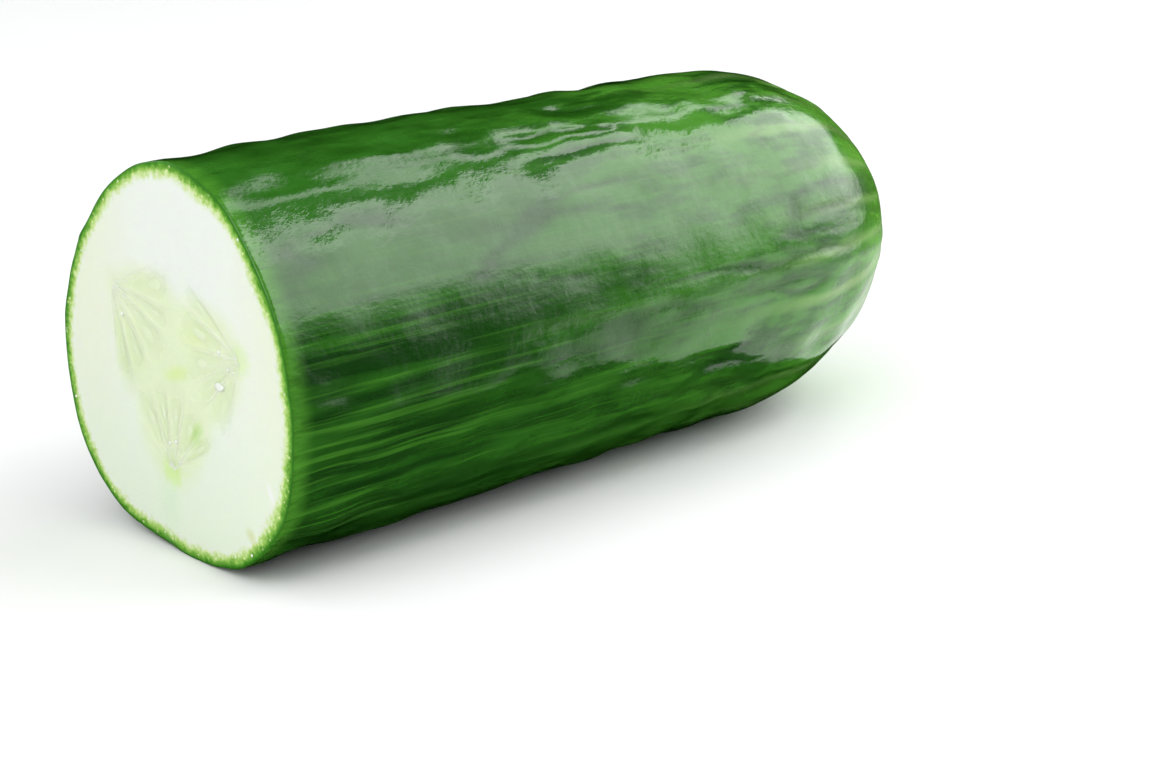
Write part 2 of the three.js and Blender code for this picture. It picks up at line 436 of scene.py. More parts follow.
class Recipe:
    """A Geometry Nodes tree with named inputs, which turns a plain mesh into a finished one."""

    def __init__(self, name: str) -> None:
        """Makes the tree, with its mesh input and output.

        Args:
            name: The tree's name.
        """
        self.tree = bpy.data.node_groups.new(name, "GeometryNodeTree")
        self.tree.is_modifier = True
        self.bench = Bench(self.tree)
        self.values: dict[str, Any] = {}
        self.tree.interface.new_socket("Base", in_out="INPUT", socket_type="NodeSocketGeometry")
        self.tree.interface.new_socket("Mesh", in_out="OUTPUT", socket_type="NodeSocketGeometry")
        self.start = self.bench.node("NodeGroupInput")

    def size(self, name: str, value: Any, kind: str = "Float") -> Field:
        """Adds a named input.

        Args:
            name: The input's name.
            value: What the modifier sets it to.
            kind: Its socket's kind, such as Float, Int or Material.

        Returns:
            The input as a field.
        """
        made = self.tree.interface.new_socket(name, in_out="INPUT", socket_type=f"NodeSocket{kind}")
        self.values[made.identifier] = value
        return Field(self.tree, self.start.outputs[name])

    def base(self) -> Field:
        """The mesh that the tree is given."""
        return Field(self.tree, self.start.outputs["Base"])

    def mark(self, mark: Union[Mark, str], vector: bool = False) -> Field:
        """Reads what is stored at each point under a mark, or under a name."""
        values = {"Name": getattr(mark, "value", mark)}
        return self.bench.get("GeometryNodeInputNamedAttribute", values, "Attribute",
                              data_type="FLOAT_VECTOR" if vector else "FLOAT")

    def store(self, mesh: Field, mark: Mark, value: Any, vector: bool = False) -> Field:
        """Stores a value at each point under a mark."""
        values = {"Geometry": mesh, "Name": mark.value, "Value": value}
        return self.bench.get("GeometryNodeStoreNamedAttribute", values, domain="POINT",
                              data_type="FLOAT_VECTOR" if vector else "FLOAT")

    def move(self, mesh: Field, place: Any = None, offset: Any = None) -> Field:
        """Moves the points of a mesh.

        Args:
            mesh: The mesh.
            place: Where each point goes, or None to leave it.
            offset: How far it is moved from there.

        Returns:
            The moved mesh.
        """
        values = {"Geometry": mesh}
        if place is not None:
            values["Position"] = place
        if offset is not None:
            values["Offset"] = offset
        return self.bench.get("GeometryNodeSetPosition", values)

    def raise_by(self, mesh: Field, height: Any) -> Field:
        """Raises the points of a mesh out of its surface."""
        normal = self.bench.get("GeometryNodeInputNormal")
        lift = self.bench.node("ShaderNodeVectorMath", {0: normal, "Scale": height}, operation="SCALE")
        return self.move(mesh, offset=lift.outputs[0])

    def place(self) -> Field:
        """Where each point is now."""
        return self.bench.get("GeometryNodeInputPosition")

    def spot(self) -> tuple[Field, Field, Field]:
        """Where each point is now: along, across and up."""
        return self.bench.split(self.place())

    def to_row(self, mesh: Field, plan: BodyPlan) -> Field:
        """Takes a mesh from the cucumber's millimetres to metres in the row's frame."""
        placed = [(number + shift) * METRES for number, shift in zip(self.spot(), plan.origin())]
        return self.move(mesh, self.bench.vector(*placed))

    def finish(self, mesh: Field, *coats: tuple[Field, Optional[Field]]) -> None:
        """Ends the tree: makes its instances real and sets its materials.

        Args:
            mesh: What the tree has made.
            coats: Each material, with the part of the mesh that takes it, or None for all of it.
        """
        mesh = self.bench.get("GeometryNodeRealizeInstances", {"Geometry": mesh})
        mesh = self.bench.get("GeometryNodeSetShadeSmooth", {0: mesh})
        for material, selection in coats:
            values = {"Geometry": mesh, "Material": material}
            if selection is not None:
                values["Selection"] = selection
            mesh = self.bench.get("GeometryNodeSetMaterial", values)
        self.bench.node("NodeGroupOutput", {"Mesh": mesh})

    def bake(self, name: str, base: bpy.types.Mesh) -> bpy.types.Object:
        """Runs the tree on a mesh.

        Args:
            name: The piece's name.
            base: The mesh that the tree is given.

        Returns:
            The piece, as a plain mesh without a modifier.
        """
        piece = bpy.data.objects.new(name, base)
        bpy.context.collection.objects.link(piece)
        modifier = piece.modifiers.new("Build", "NODES")
        modifier.node_group = self.tree
        for identifier, value in self.values.items():
            modifier[identifier] = value
        depsgraph = bpy.context.evaluated_depsgraph_get()
        made = bpy.data.meshes.new_from_object(
            piece.evaluated_get(depsgraph), preserve_all_data_layers=True, depsgraph=depsgraph)
        piece.modifiers.clear()
        piece.data = made
        made.name = name
        bpy.data.meshes.remove(base)
        return piece


def points_mesh(name: str, points: Sequence[Triple], edges: Sequence[tuple[int, int]] = (),
                marks: Optional[Mapping[str, Sequence]] = None) -> bpy.types.Mesh:
    """Makes a mesh of loose points, or of lines between them.

    Args:
        name: The mesh's name.
        points: Where the points are.
        edges: Which points are joined.
        marks: Values or vectors stored at the points, by name.

    Returns:
        The mesh.
    """
    mesh = bpy.data.meshes.new(name)
    mesh.from_pydata(list(points), list(edges), [])
    for mark, values in (marks or {}).items():
        vector = isinstance(values[0], tuple)
        kind, key = ("FLOAT_VECTOR", "vector") if vector else ("FLOAT", "value")
        layer = mesh.attributes.new(mark, kind, "POINT")
        flat = [number for value in values for number in value] if vector else list(values)
        layer.data.foreach_set(key, flat)
    return mesh


def at_share(span: Span, share: float) -> float:
    """The number at a share of the way along a span."""
    low, high = span
    return low + (high - low) * share


@dataclass(frozen=True)
class Swelling:
    """A soft swelling of the skin, or a hollow if its height is negative."""

    along: float  # from the cut
    degrees: float  # about the axis
    length: float
    width: float
    height: float

    def raised(self, bench: Bench, place: Field) -> Field:
        """How far it raises the unrolled skin at a place."""
        angle = math.radians(self.degrees)
        away = bench.vector_sum("SUBTRACT", place, (
            self.along, math.cos(angle) * PLAN.radius, math.sin(angle) * PLAN.radius))
        away = bench.shares(away, (self.length, self.width, self.width))
        return bench.vector_sum("LENGTH", away, output="Value").bell(1.0) * self.height


@dataclass
class Body:
    """The cucumber's body: its skin and its cut face, as one closed mesh."""

    plan: BodyPlan = PLAN
    columns: int = 252
    core_rings: int = 80  # rings of the cut face over the seed pockets
    rim_rings: int = 20  # rings between the pockets and the rim
    skin_rows: int = 262
    core_radius: float = 17.2
    rim_round: float = 0.2  # how far the cut's edge is rounded over
    pocket_depth: float = 0.16
    pocket_rim: float = 1.35  # share of a pocket's size at which it begins
    pocket_edge: float = 0.3  # share of its size at which its floor begins
    pocket_squareness: float = 3.0  # power of its rounded outline; 2 would make it an ellipse
    least_pocket_width: float = 0.05
    placenta_depth: float = 0.08
    placenta_radius: float = 1.2
    cut_grain: Grain = (1.0, 3.0)
    cut_unevenness: float = 0.09
    drift_waves: tuple[Span, ...] = ((2.0, 1.1), (5.0, 0.4))  # waves round the body and their starts
    corner_share: float = 0.3  # share of the rounding at which the corner between cut and skin lies
    dome_arc: float = 0.77  # length of the dome's profile, as a share of its length and radius
    rest_round: float = 0.3  # how softly the flat spot runs out
    flesh_share: float = 0.3  # share of a face's corners on the cut that makes it flesh
    ridge_grain: Grain = (30.0, 4.6)
    ridge_height: float = 0.4
    wrinkle_grain: Grain = (9.0, 2.9)
    wrinkle_height: float = 0.17
    lump_grain: Grain = (12.0, 9.0)
    lump_height: float = 0.3
    crease_grain: Grain = (46.0, 8.5)
    crease_depth: float = 0.3
    crease_width: float = 0.03
    crease_gap_grain: Grain = (30.0, 14.0)
    crease_gaps: Span = (0.42, 0.6)
    wart_height: float = 0.06
    wart_radius: float = 0.9
    wart_spacing: float = 15.0
    swellings: tuple[Swelling, ...] = (
        Swelling(12.5, 116, 1.8, 2.6, 0.14),
        Swelling(34.5, 119, 3.2, 2.8, 0.24),
        Swelling(51.0, 112, 1.6, 2.6, 0.14),
        Swelling(74.0, 114, 3.0, 2.4, 0.16),
        Swelling(86.0, 110, 6.0, 2.6, 0.12),
        Swelling(5.0, 123, 5.0, 3.0, 0.17),
        Swelling(8.0, 82, 9.0, 8.0, -0.28),
        Swelling(28.0, 81, 4.0, 5.0, 0.2),
        Swelling(45.5, 81, 4.0, 5.0, 0.3),
        Swelling(56.0, 81, 3.4, 5.0, -0.08),
        Swelling(65.4, 81, 1.8, 4.0, -0.15),
        Swelling(60.0, 82, 22.0, 9.0, -0.33),
        Swelling(61.4, 81, 2.8, 3.5, 0.25),
        Swelling(69.6, 81, 2.4, 3.5, 0.15),
        Swelling(84.0, 81, 5.5, 7.0, -0.3),
        Swelling(98.0, 80, 5.0, 7.0, 0.2),
    )
    smooth_angle: float = math.radians(158)  # the bumps are low round here
    smooth_width: float = math.radians(26)
    smooth_share: float = 0.35  # how much of them is left
    flank_angle: float = math.radians(148)
    flank_calm: float = 0.3  # how much of the relief is left on the flank
    flank_spread: Span = (math.cos(math.radians(34)), math.cos(math.radians(20)))
    rim_calm: float = 7.0  # the relief is low inside this distance from the cut
    rim_relief: float = 0.25  # how much of it is left at the cut
    tip_smooth: float = 9.0  # the fine relief fades inside this distance from the axis
    seam_gap: float = 0.001  # points closer than this are one

    def rib_height(self, recipe: Recipe, turn: Field, along: Field) -> Field:
        """Height of the ribs.

        Args:
            recipe: The tree that it is added to.
            turn: The column's own turn round the body.
            along: The distance from the cut face.

        Returns:
            The height, in millimetres.
        """
        plan = self.plan
        place = turn * (plan.ribs / TAU)
        crest = (place * math.pi).cos() ** 2.0
        rib = place.round() % float(plan.ribs)
        swell = (along * (TAU / plan.rib_swell_length) + rib * GOLDEN_TURN).sin()
        height = recipe.size("Rib Height", plan.rib_height)
        return height * (crest * crest * (swell * plan.rib_swell + 1.0) - plan.mean_crest)

    def bump_height(self, recipe: Recipe, angle: Field, along: Field) -> Field:
        """Height of the bumps: standing waves, each shorter than the last.

        Args:
            recipe: The tree that it is added to.
            angle: The angle about the axis.
            along: The distance from the cut face.

        Returns:
            The height, in millimetres.
        """
        plan = self.plan
        total = along * 0.0
        for wave in range(plan.bump_waves):
            length = plan.bump_longest * plan.bump_shortening ** wave
            round_ = plan.bump_fewest_round + (wave * plan.bump_round_step) % plan.bump_round_range
            waves_along = (along * (TAU / length) + GOLDEN_TURN * (2 * wave + 1)).cos()
            waves_round = (angle * float(round_) + GOLDEN_TURN * wave * wave).cos()
            total = total + waves_along * waves_round
        calm = (angle - self.smooth_angle).bell(self.smooth_width).blend(1.0, self.smooth_share)
        return total * recipe.size("Bump Height", plan.bump_height) * calm

    def section_radius(self, recipe: Recipe, turn: Field, angle: Field, along: Field) -> Field:
        """Radius of the section where the body is at its full size.

        Args:
            recipe: The tree that it is added to.
            turn: The column's own turn round the body.
            angle: Its angle about the axis.
            along: The distance from the cut face.

        Returns:
            The radius.
        """
        plan = self.plan
        radius = recipe.size("Radius", plan.radius) + self.rib_height(recipe, turn, along)
        for lobes in plan.lobes:
            height = (1.0 - along * (lobes.fading / plan.length)) * lobes.height
            radius = radius + height * ((angle - lobes.angle) * float(lobes.count)).cos()
        return radius + self.bump_height(recipe, angle, along)

    def outline(self, recipe: Recipe, row: Field, first_row: int) -> tuple[Field, Field]:
        """The profile that the skin follows from the rim to the tip.

        Args:
            recipe: The tree that it is added to.
            row: The row's number.
            first_row: The number of the skin's first row.

        Returns:
            The distance from the cut face, and the share of the full radius there.
        """
        plan = self.plan
        length = recipe.size("Length", plan.length)
        dome = length - plan.dome_start
        dome_arc = (plan.length - plan.dome_start + plan.radius) * self.dome_arc
        straight = plan.dome_start / (plan.dome_start + dome_arc)
        travelled = ((row - float(first_row)) / float(self.skin_rows)).at_least(0.0)
        barrel = (travelled / straight).at_most(1.0)
        quarter = ((travelled - straight) / (1 - straight)).at_least(0.0) * (TAU / 4)
        bend = 2 / plan.dome_power
        along = self.rim_round + barrel * (plan.dome_start - self.rim_round)
        along = along + dome * quarter.sin() ** bend
        narrowed = 1.0 - (along / plan.length) ** plan.narrowing_power * plan.narrowing
        return along, narrowed * quarter.cos().at_least(0.0) ** bend

    def skin_relief(self, recipe: Recipe) -> tuple[Field, Field]:
        """The fine relief of the skin, raised on top of the ribs and bumps.

        Args:
            recipe: The tree that it is added to.

        Returns:
            Its height in millimetres, and how deep in a crease each point is, from 0 to 1.
        """
        bench = recipe.bench
        place = recipe.mark(Mark.UNROLLED, vector=True)
        along, y, z = bench.split(place)
        ridges = bench.swing(bench.stretched(place, *self.ridge_grain), 1.0)
        wrinkles = bench.swing(bench.stretched(place, *self.wrinkle_grain), 1.5)
        lumps = bench.swing(bench.stretched(place, *self.lump_grain), 1.0)
        lines = bench.noise(bench.stretched(place, *self.crease_grain), *WANDERING_NOISE)
        fading = bench.noise(bench.stretched(place, *self.crease_gap_grain), 1.0)
        crease = (lines - 0.5).bell(self.crease_width) * fading.step(*self.crease_gaps)
        spots = bench.node("ShaderNodeTexVoronoi", {
            "Vector": bench.stretched(place, self.wart_spacing), "Scale": 1.0})
        wart = Field(recipe.tree, spots.outputs["Distance"]).bell(self.wart_radius / self.wart_spacing)
        chosen = bench.split(Field(recipe.tree, spots.outputs["Color"]))[0]
        height = ridges * (2 * self.ridge_height) + wrinkles * (2 * self.wrinkle_height)
        height = height + lumps * (2 * self.lump_height) + wart * chosen * self.wart_height
        height = height - crease * recipe.size("Crease Depth", self.crease_depth)
        towards = y * (math.cos(self.flank_angle) / self.plan.radius)
        towards = towards + z * (math.sin(self.flank_angle) / self.plan.radius)
        height = height * towards.step(*self.flank_spread).blend(1.0, self.flank_calm)
        height = height * along.step(0.0, self.rim_calm).blend(self.rim_relief, 1.0)
        for swelling in self.swellings:
            height = height + swelling.raised(bench, place)
        return height, crease

    def face_relief(self, recipe: Recipe) -> Field:
        """The relief of the cut face.

        Args:
            recipe: The tree that it is added to.

        Returns:
            How far each point is sunk.
        """
        bench = recipe.bench
        place = recipe.mark(Mark.SPOT, vector=True)
        depth = recipe.mark(Mark.POCKET) * recipe.size("Pocket Depth", self.pocket_depth)
        for fan in self.plan.placentas:
            centre = (0.0, *fan.place)
            away = bench.vector_sum("DISTANCE", place, centre, output="Value")
            depth = depth + away.bell(self.placenta_radius) * self.placenta_depth
        uneven = bench.swing(bench.stretched(place, *self.cut_grain), 3.0)
        return depth + uneven * self.cut_unevenness

    def sink_pockets(self, recipe: Recipe, mesh: Field) -> Field:
        """Marks where the seed pockets are, one pocket at a time.

        Args:
            recipe: The tree that it is added to. Its base mesh has a point for each pocket.
            mesh: The body so far.

        Returns:
            The body, with the marks stored at its points.
        """
        bench, tree = recipe.bench, recipe.tree
        enter = tree.nodes.new("GeometryNodeRepeatInput")
        leave = tree.nodes.new("GeometryNodeRepeatOutput")
        enter.pair_with_output(leave)
        count = recipe.size("Pockets", len(list(self.plan.pockets())), "Int")
        plug(tree, enter.inputs["Iterations"], count)
        plug(tree, enter.inputs["Geometry"], mesh)
        turn = Field(tree, enter.outputs["Iteration"])

        def plan_of(name: str, vector: bool) -> Field:
            """Reads one of the pocket's measurements."""
            kind = "FLOAT_VECTOR" if vector else "FLOAT"
            values = {"Geometry": recipe.base(), "Value": recipe.mark(name, vector), "Index": turn}
            return bench.get("GeometryNodeSampleIndex", values, data_type=kind, domain="POINT")

        away = bench.vector_sum("SUBTRACT", recipe.mark(Mark.SPOT, True), plan_of("place", True))
        facing = plan_of("facing", True)
        start, end, slope = bench.split(plan_of("reach", True))
        along = bench.vector_sum("DOT_PRODUCT", away, facing, output="Value")
        across = bench.split(bench.vector_sum("CROSS_PRODUCT", facing, away))[0]
        lengthwise = (along - (start + end) / 2.0) / ((end - start) / 2.0)
        sidewise = abs(across) / (along * slope).at_least(self.least_pocket_width)
        power = self.pocket_squareness
        size = (abs(lengthwise) ** power + sidewise ** power) ** (1 / power)
        inside = size.step(self.pocket_rim, self.pocket_edge)
        made = Field(tree, enter.outputs["Geometry"])
        tone = recipe.mark(Mark.TONE)
        made = recipe.store(made, Mark.TONE, tone + (plan_of("tone", False) - tone) * inside)
        made = recipe.store(made, Mark.POCKET, recipe.mark(Mark.POCKET).at_least(inside))
        plug(tree, leave.inputs["Geometry"], made)
        return Field(tree, leave.outputs["Geometry"])

    def pocket_points(self) -> bpy.types.Mesh:
        """Lists the pockets for the body's tree.

        Returns:
            A mesh with a point for each pocket, which carries the pocket's measurements.
        """
        pockets = list(self.plan.pockets())
        reach = [(pocket.start, pocket.end, math.tan(pocket.half_angle)) for pocket in pockets]
        marks = {
            "place": [(0.0, *pocket.place) for pocket in pockets],
            "facing": [(0.0, *pocket.facing) for pocket in pockets],
            "reach": reach,
            "tone": [pocket.tone for pocket in pockets],
        }
        return points_mesh("pocket plan", [(0.0, 0.0, 0.0)] * len(pockets), marks=marks)

    def shell(self, recipe: Recipe) -> Field:
        """The body without its fine relief: rows of points from the middle of the cut to the tip.

        Args:
            recipe: The tree that it is added to.

        Returns:
            The closed shell, with its marks stored at its points.
        """
        plan, bench = self.plan, recipe.bench
        face_rows = self.core_rings + self.rim_rings
        first_skin = face_rows + 2
        in_row = self.columns + 1
        mesh = bench.get("GeometryNodeMeshGrid", {
            "Vertices X": first_skin + self.skin_rows + 1, "Vertices Y": in_row})
        number = bench.get("GeometryNodeInputIndex")
        row = (number / float(in_row)).floor()
        mesh = recipe.store(mesh, Mark.ROW, row)
        mesh = recipe.store(mesh, Mark.TURN, (number - row * float(in_row)) * (TAU / self.columns))

        row, turn = recipe.mark(Mark.ROW), recipe.mark(Mark.TURN)
        on_face = row < face_rows + 0.5
        on_skin = row > first_skin - 0.5
        drift = sum(((turn * waves + start).sin() for waves, start in self.drift_waves), turn * 0.0)
        angle = turn + drift * plan.rib_drift
        skin_along, share = self.outline(recipe, row, first_skin)
        along = skin_along * on_skin
        section = self.section_radius(recipe, turn, angle, along)
        corner = self.rim_round * self.corner_share
        to_core = (row / float(self.core_rings)).at_most(1.0) * self.core_radius
        past_core = ((row - float(self.core_rings)) / float(self.rim_rings)).at_least(0.0)
        face_radius = to_core + past_core * (section - self.rim_round - self.core_radius)
        radius = on_face.blend(on_skin.blend(section - corner, section * share), face_radius)
        along = along + (1.0 - on_skin) * (1.0 - on_face) * corner + plan.tip(radius) * on_skin
        across, up = radius * angle.cos(), radius * angle.sin()
        unrolled = bench.vector(along, angle.cos() * plan.radius, angle.sin() * plan.radius)

        mesh = recipe.store(mesh, Mark.FACE, on_face)
        mesh = recipe.store(mesh, Mark.UNDER_SKIN, (section - radius) * (1.0 - on_skin))
        mesh = recipe.store(mesh, Mark.SPOT, bench.vector(0.0, across, up), vector=True)
        mesh = recipe.store(mesh, Mark.UNROLLED, unrolled, vector=True)
        for mark in (Mark.TONE, Mark.POCKET):
            mesh = recipe.store(mesh, mark, 0.0)
        mesh = recipe.move(mesh, bench.vector(along, across, up))
        mesh = bench.get("GeometryNodeMergeByDistance", {"Geometry": mesh, "Distance": self.seam_gap})
        return bench.get("GeometryNodeFlipFaces", {"Mesh": mesh})

    def build(self, skin: bpy.types.Material, flesh: bpy.types.Material) -> bpy.types.Object:
        """Makes the body.

        Args:
            skin: The skin's material.
            flesh: The cut face's material.

        Returns:
            The body, as one closed mesh in the row's frame.
        """
        recipe = Recipe("Cucumber body")
        bench = recipe.bench
        skin_coat = recipe.size("Skin", skin, "Material")
        flesh_coat = recipe.size("Flesh", flesh, "Material")
        mesh = self.sink_pockets(recipe, self.shell(recipe))

        height, crease = self.skin_relief(recipe)
        face = recipe.mark(Mark.FACE)
        mesh = recipe.store(mesh, Mark.CREASE, crease * (1.0 - face))
        _, y, z = recipe.spot()
        away = (y * y + z * z).root()
        fading = (away / self.plan.radius).at_most(1.0) * away.step(0.0, self.tip_smooth)
        mesh = recipe.raise_by(mesh, face.blend(height * fading, self.face_relief(recipe) * -1.0))
        x, y, z = recipe.spot()
        rested = z.math("SMOOTH_MAX", z, -self.plan.rest_depth, self.rest_round)
        mesh = recipe.to_row(recipe.move(mesh, bench.vector(x, y, rested)), self.plan)
        flesh_faces = recipe.mark(Mark.FACE) > self.flesh_share
        for mark in (Mark.ROW, Mark.TURN, Mark.SPOT):
            mesh = bench.get("GeometryNodeRemoveAttribute", {"Geometry": mesh, "Name": mark.value})
        recipe.finish(mesh, (skin_coat, None), (flesh_coat, flesh_faces))
        return recipe.bake("cucumber_body", self.pocket_points())


@dataclass
class Seeds:
    """The unripe seeds, one in each pocket, with their flat sides out."""

    plan: BodyPlan = PLAN
    length_share: float = 0.84  # of the pocket's length
    width_share: float = 0.86
    widest: float = 3.8
    thickness: float = 0.9
    depth: float = 0.54  # from the cut face to the seed's middle
    narrow_share: float = 0.52  # thickness and width of its narrow end against the wide one
    narrowing: Span = (-1.0, 0.5)  # where it narrows, in half lengths from its middle
    lump_size: float = 2.0
    unevenness: float = 0.14
    segments: int = 28
    rings: int = 16

    def seats(self) -> bpy.types.Mesh:
        """Lists the seeds for their tree.

        Returns:
            A mesh with a point for each seed, which carries its half sizes and its turn.
        """
        points, halves, turns = [], [], []
        for pocket in self.plan.pockets():
            middle = (pocket.start + pocket.end) / 2
            length = self.length_share * (pocket.end - pocket.start)
            width = min(self.widest, self.width_share * 2 * middle * math.tan(pocket.half_angle))
            points.append((self.depth, *pocket.point(middle)))
            halves.append((self.thickness / 2, length / 2, width / 2))
            turns.append((pocket.angle, 0.0, 0.0))
        return points_mesh("seed seats", points, marks={"half sizes": halves, "turns": turns})

    def build(self, material: bpy.types.Material) -> bpy.types.Object:
        """Makes the seeds.

        Args:
            material: The seeds' material.

        Returns:
            The seeds, as one mesh.
        """
        recipe = Recipe("Seeds")
        bench = recipe.bench
        coat = recipe.size("Seed", material, "Material")
        uneven = recipe.size("Unevenness", self.unevenness)
        ball = bench.get("GeometryNodeMeshUVSphere", {"Segments": self.segments, "Rings": self.rings})
        x, y, z = recipe.spot()
        taper = z.step(*self.narrowing).blend(self.narrow_share, 1.0)
        ball = recipe.move(ball, bench.vector(x * taper, z, y * taper * -1.0))
        seeds = bench.get("GeometryNodeInstanceOnPoints", {
            "Points": recipe.base(), "Instance": ball, "Scale": recipe.mark("half sizes", True),
            "Rotation": recipe.mark("turns", True)})
        seeds = bench.get("GeometryNodeRealizeInstances", {"Geometry": seeds})
        lumps = bench.swing(bench.stretched(recipe.place(), self.lump_size))
        seeds = recipe.to_row(recipe.raise_by(seeds, lumps * uneven), self.plan)
        recipe.finish(seeds, (coat, None))
        return recipe.bake("seeds", self.seats())


@dataclass
class Threads:
    """The pale threads that run from each placenta between its pockets, and out to its seeds."""

    plan: BodyPlan = PLAN
    thickness: float = 0.075
    flatness: float = 0.2
    lift: float = 0.015
    start: float = 0.5
    edge_reach: float = 0.8  # how far the threads at a fan's edges run, as a share of their pockets
    edge_share: float = 0.8  # their share of the thickness
    between_reach: float = 0.49  # how far the others run, as a share of both pockets' ends together
    seed_reach: float = 1.6  # how far a thread runs into a pocket, to its seed
    seed_swing: float = 0.5
    seed_share: float = 0.9
    taper: float = 0.72
    stray_grain: Grain = (1.0, 1.7)
    stray: Triple = (0.12, 0.5, 0.5)
    sway: float = 0.045  # radians by which a thread strays to one side
    steps: int = 9
    resampled: int = 22
    sides: int = 6

    def strands(self) -> Iterator[tuple[Pocket, float, float, float]]:
        """Every thread.

        Returns:
            The pocket that it runs beside, its angle, how far it runs and its share of the thickness.
        """
        pockets = list(self.plan.pockets())
        for number, pocket in enumerate(pockets):
            before = pockets[number - 1] if number and pockets[number - 1].fan == pocket.fan else None
            half = pocket.half_angle + self.plan.pocket_gap / 2
            if before is None:
                yield pocket, pocket.angle - half, pocket.end * self.edge_reach, self.edge_share
            else:
                yield pocket, pocket.angle - half, (pocket.end + before.end) * self.between_reach, 1.0
            if number + 1 == len(pockets) or pockets[number + 1].fan != pocket.fan:
                yield pocket, pocket.angle + half, pocket.end * self.edge_reach, self.edge_share
            lean = half * self.seed_swing * ((number * GOLDEN_TURN) % 1.0 - 0.5)
            yield pocket, pocket.angle + lean, pocket.start + self.seed_reach, self.seed_share

    def lines(self) -> bpy.types.Mesh:
        """Draws the threads for their tree.

        Returns:
            A mesh with a line for each thread, whose points carry its share of the thickness.
        """
        points, edges, shares = [], [], []
        for number, (pocket, angle, reach, share) in enumerate(self.strands()):
            y, z = pocket.place
            sway = self.sway * math.sin(GOLDEN_TURN * 2 * number)
            for i in range(self.steps):
                t = i / (self.steps - 1)
                away = self.start + (reach - self.start) * t
                turned = angle + sway * math.sin(math.pi * t)
                if i:
                    edges.append((len(points) - 1, len(points)))
                points.append((-self.lift, y + away * math.cos(turned), z + away * math.sin(turned)))
                shares.append(share)
        return points_mesh("thread lines", points, edges, {"share": shares})

    def build(self, material: bpy.types.Material) -> bpy.types.Object:
        """Makes the threads.

        Args:
            material: The threads' material.

        Returns:
            The threads, as one mesh of tapered tubes.
        """
        recipe = Recipe("Threads")
        bench = recipe.bench
        coat = recipe.size("Thread", material, "Material")
        thickness = recipe.size("Thickness", self.thickness)
        curves = bench.get("GeometryNodeMeshToCurve", {0: recipe.base()})
        curves = bench.get("GeometryNodeResampleCurve", {"Curve": curves, "Count": self.resampled})
        stray = bench.node("ShaderNodeTexNoise", {
            "Vector": bench.stretched(recipe.place(), *self.stray_grain), "Scale": 1.0, "Detail": 2.0})
        centred = bench.vector_sum("SUBTRACT", stray.outputs["Color"], (0.5, 0.5, 0.5))
        curves = recipe.move(curves, offset=bench.vector_sum("MULTIPLY", centred, self.stray))
        along = bench.get("GeometryNodeSplineParameter")
        radius = (along * -self.taper + 1.0) * recipe.mark("share") * thickness
        profile = bench.get("GeometryNodeCurvePrimitiveCircle", {"Resolution": self.sides, "Radius": 1.0})
        tubes = bench.get("GeometryNodeCurveToMesh", {
            "Curve": curves, "Profile Curve": profile, "Scale": radius, "Fill Caps": True})
        along, across, up = recipe.spot()
        tubes = recipe.move(tubes, bench.vector(along * self.flatness, across, up))
        recipe.finish(recipe.to_row(tubes, self.plan), (coat, None))
        return recipe.bake("threads", self.lines())


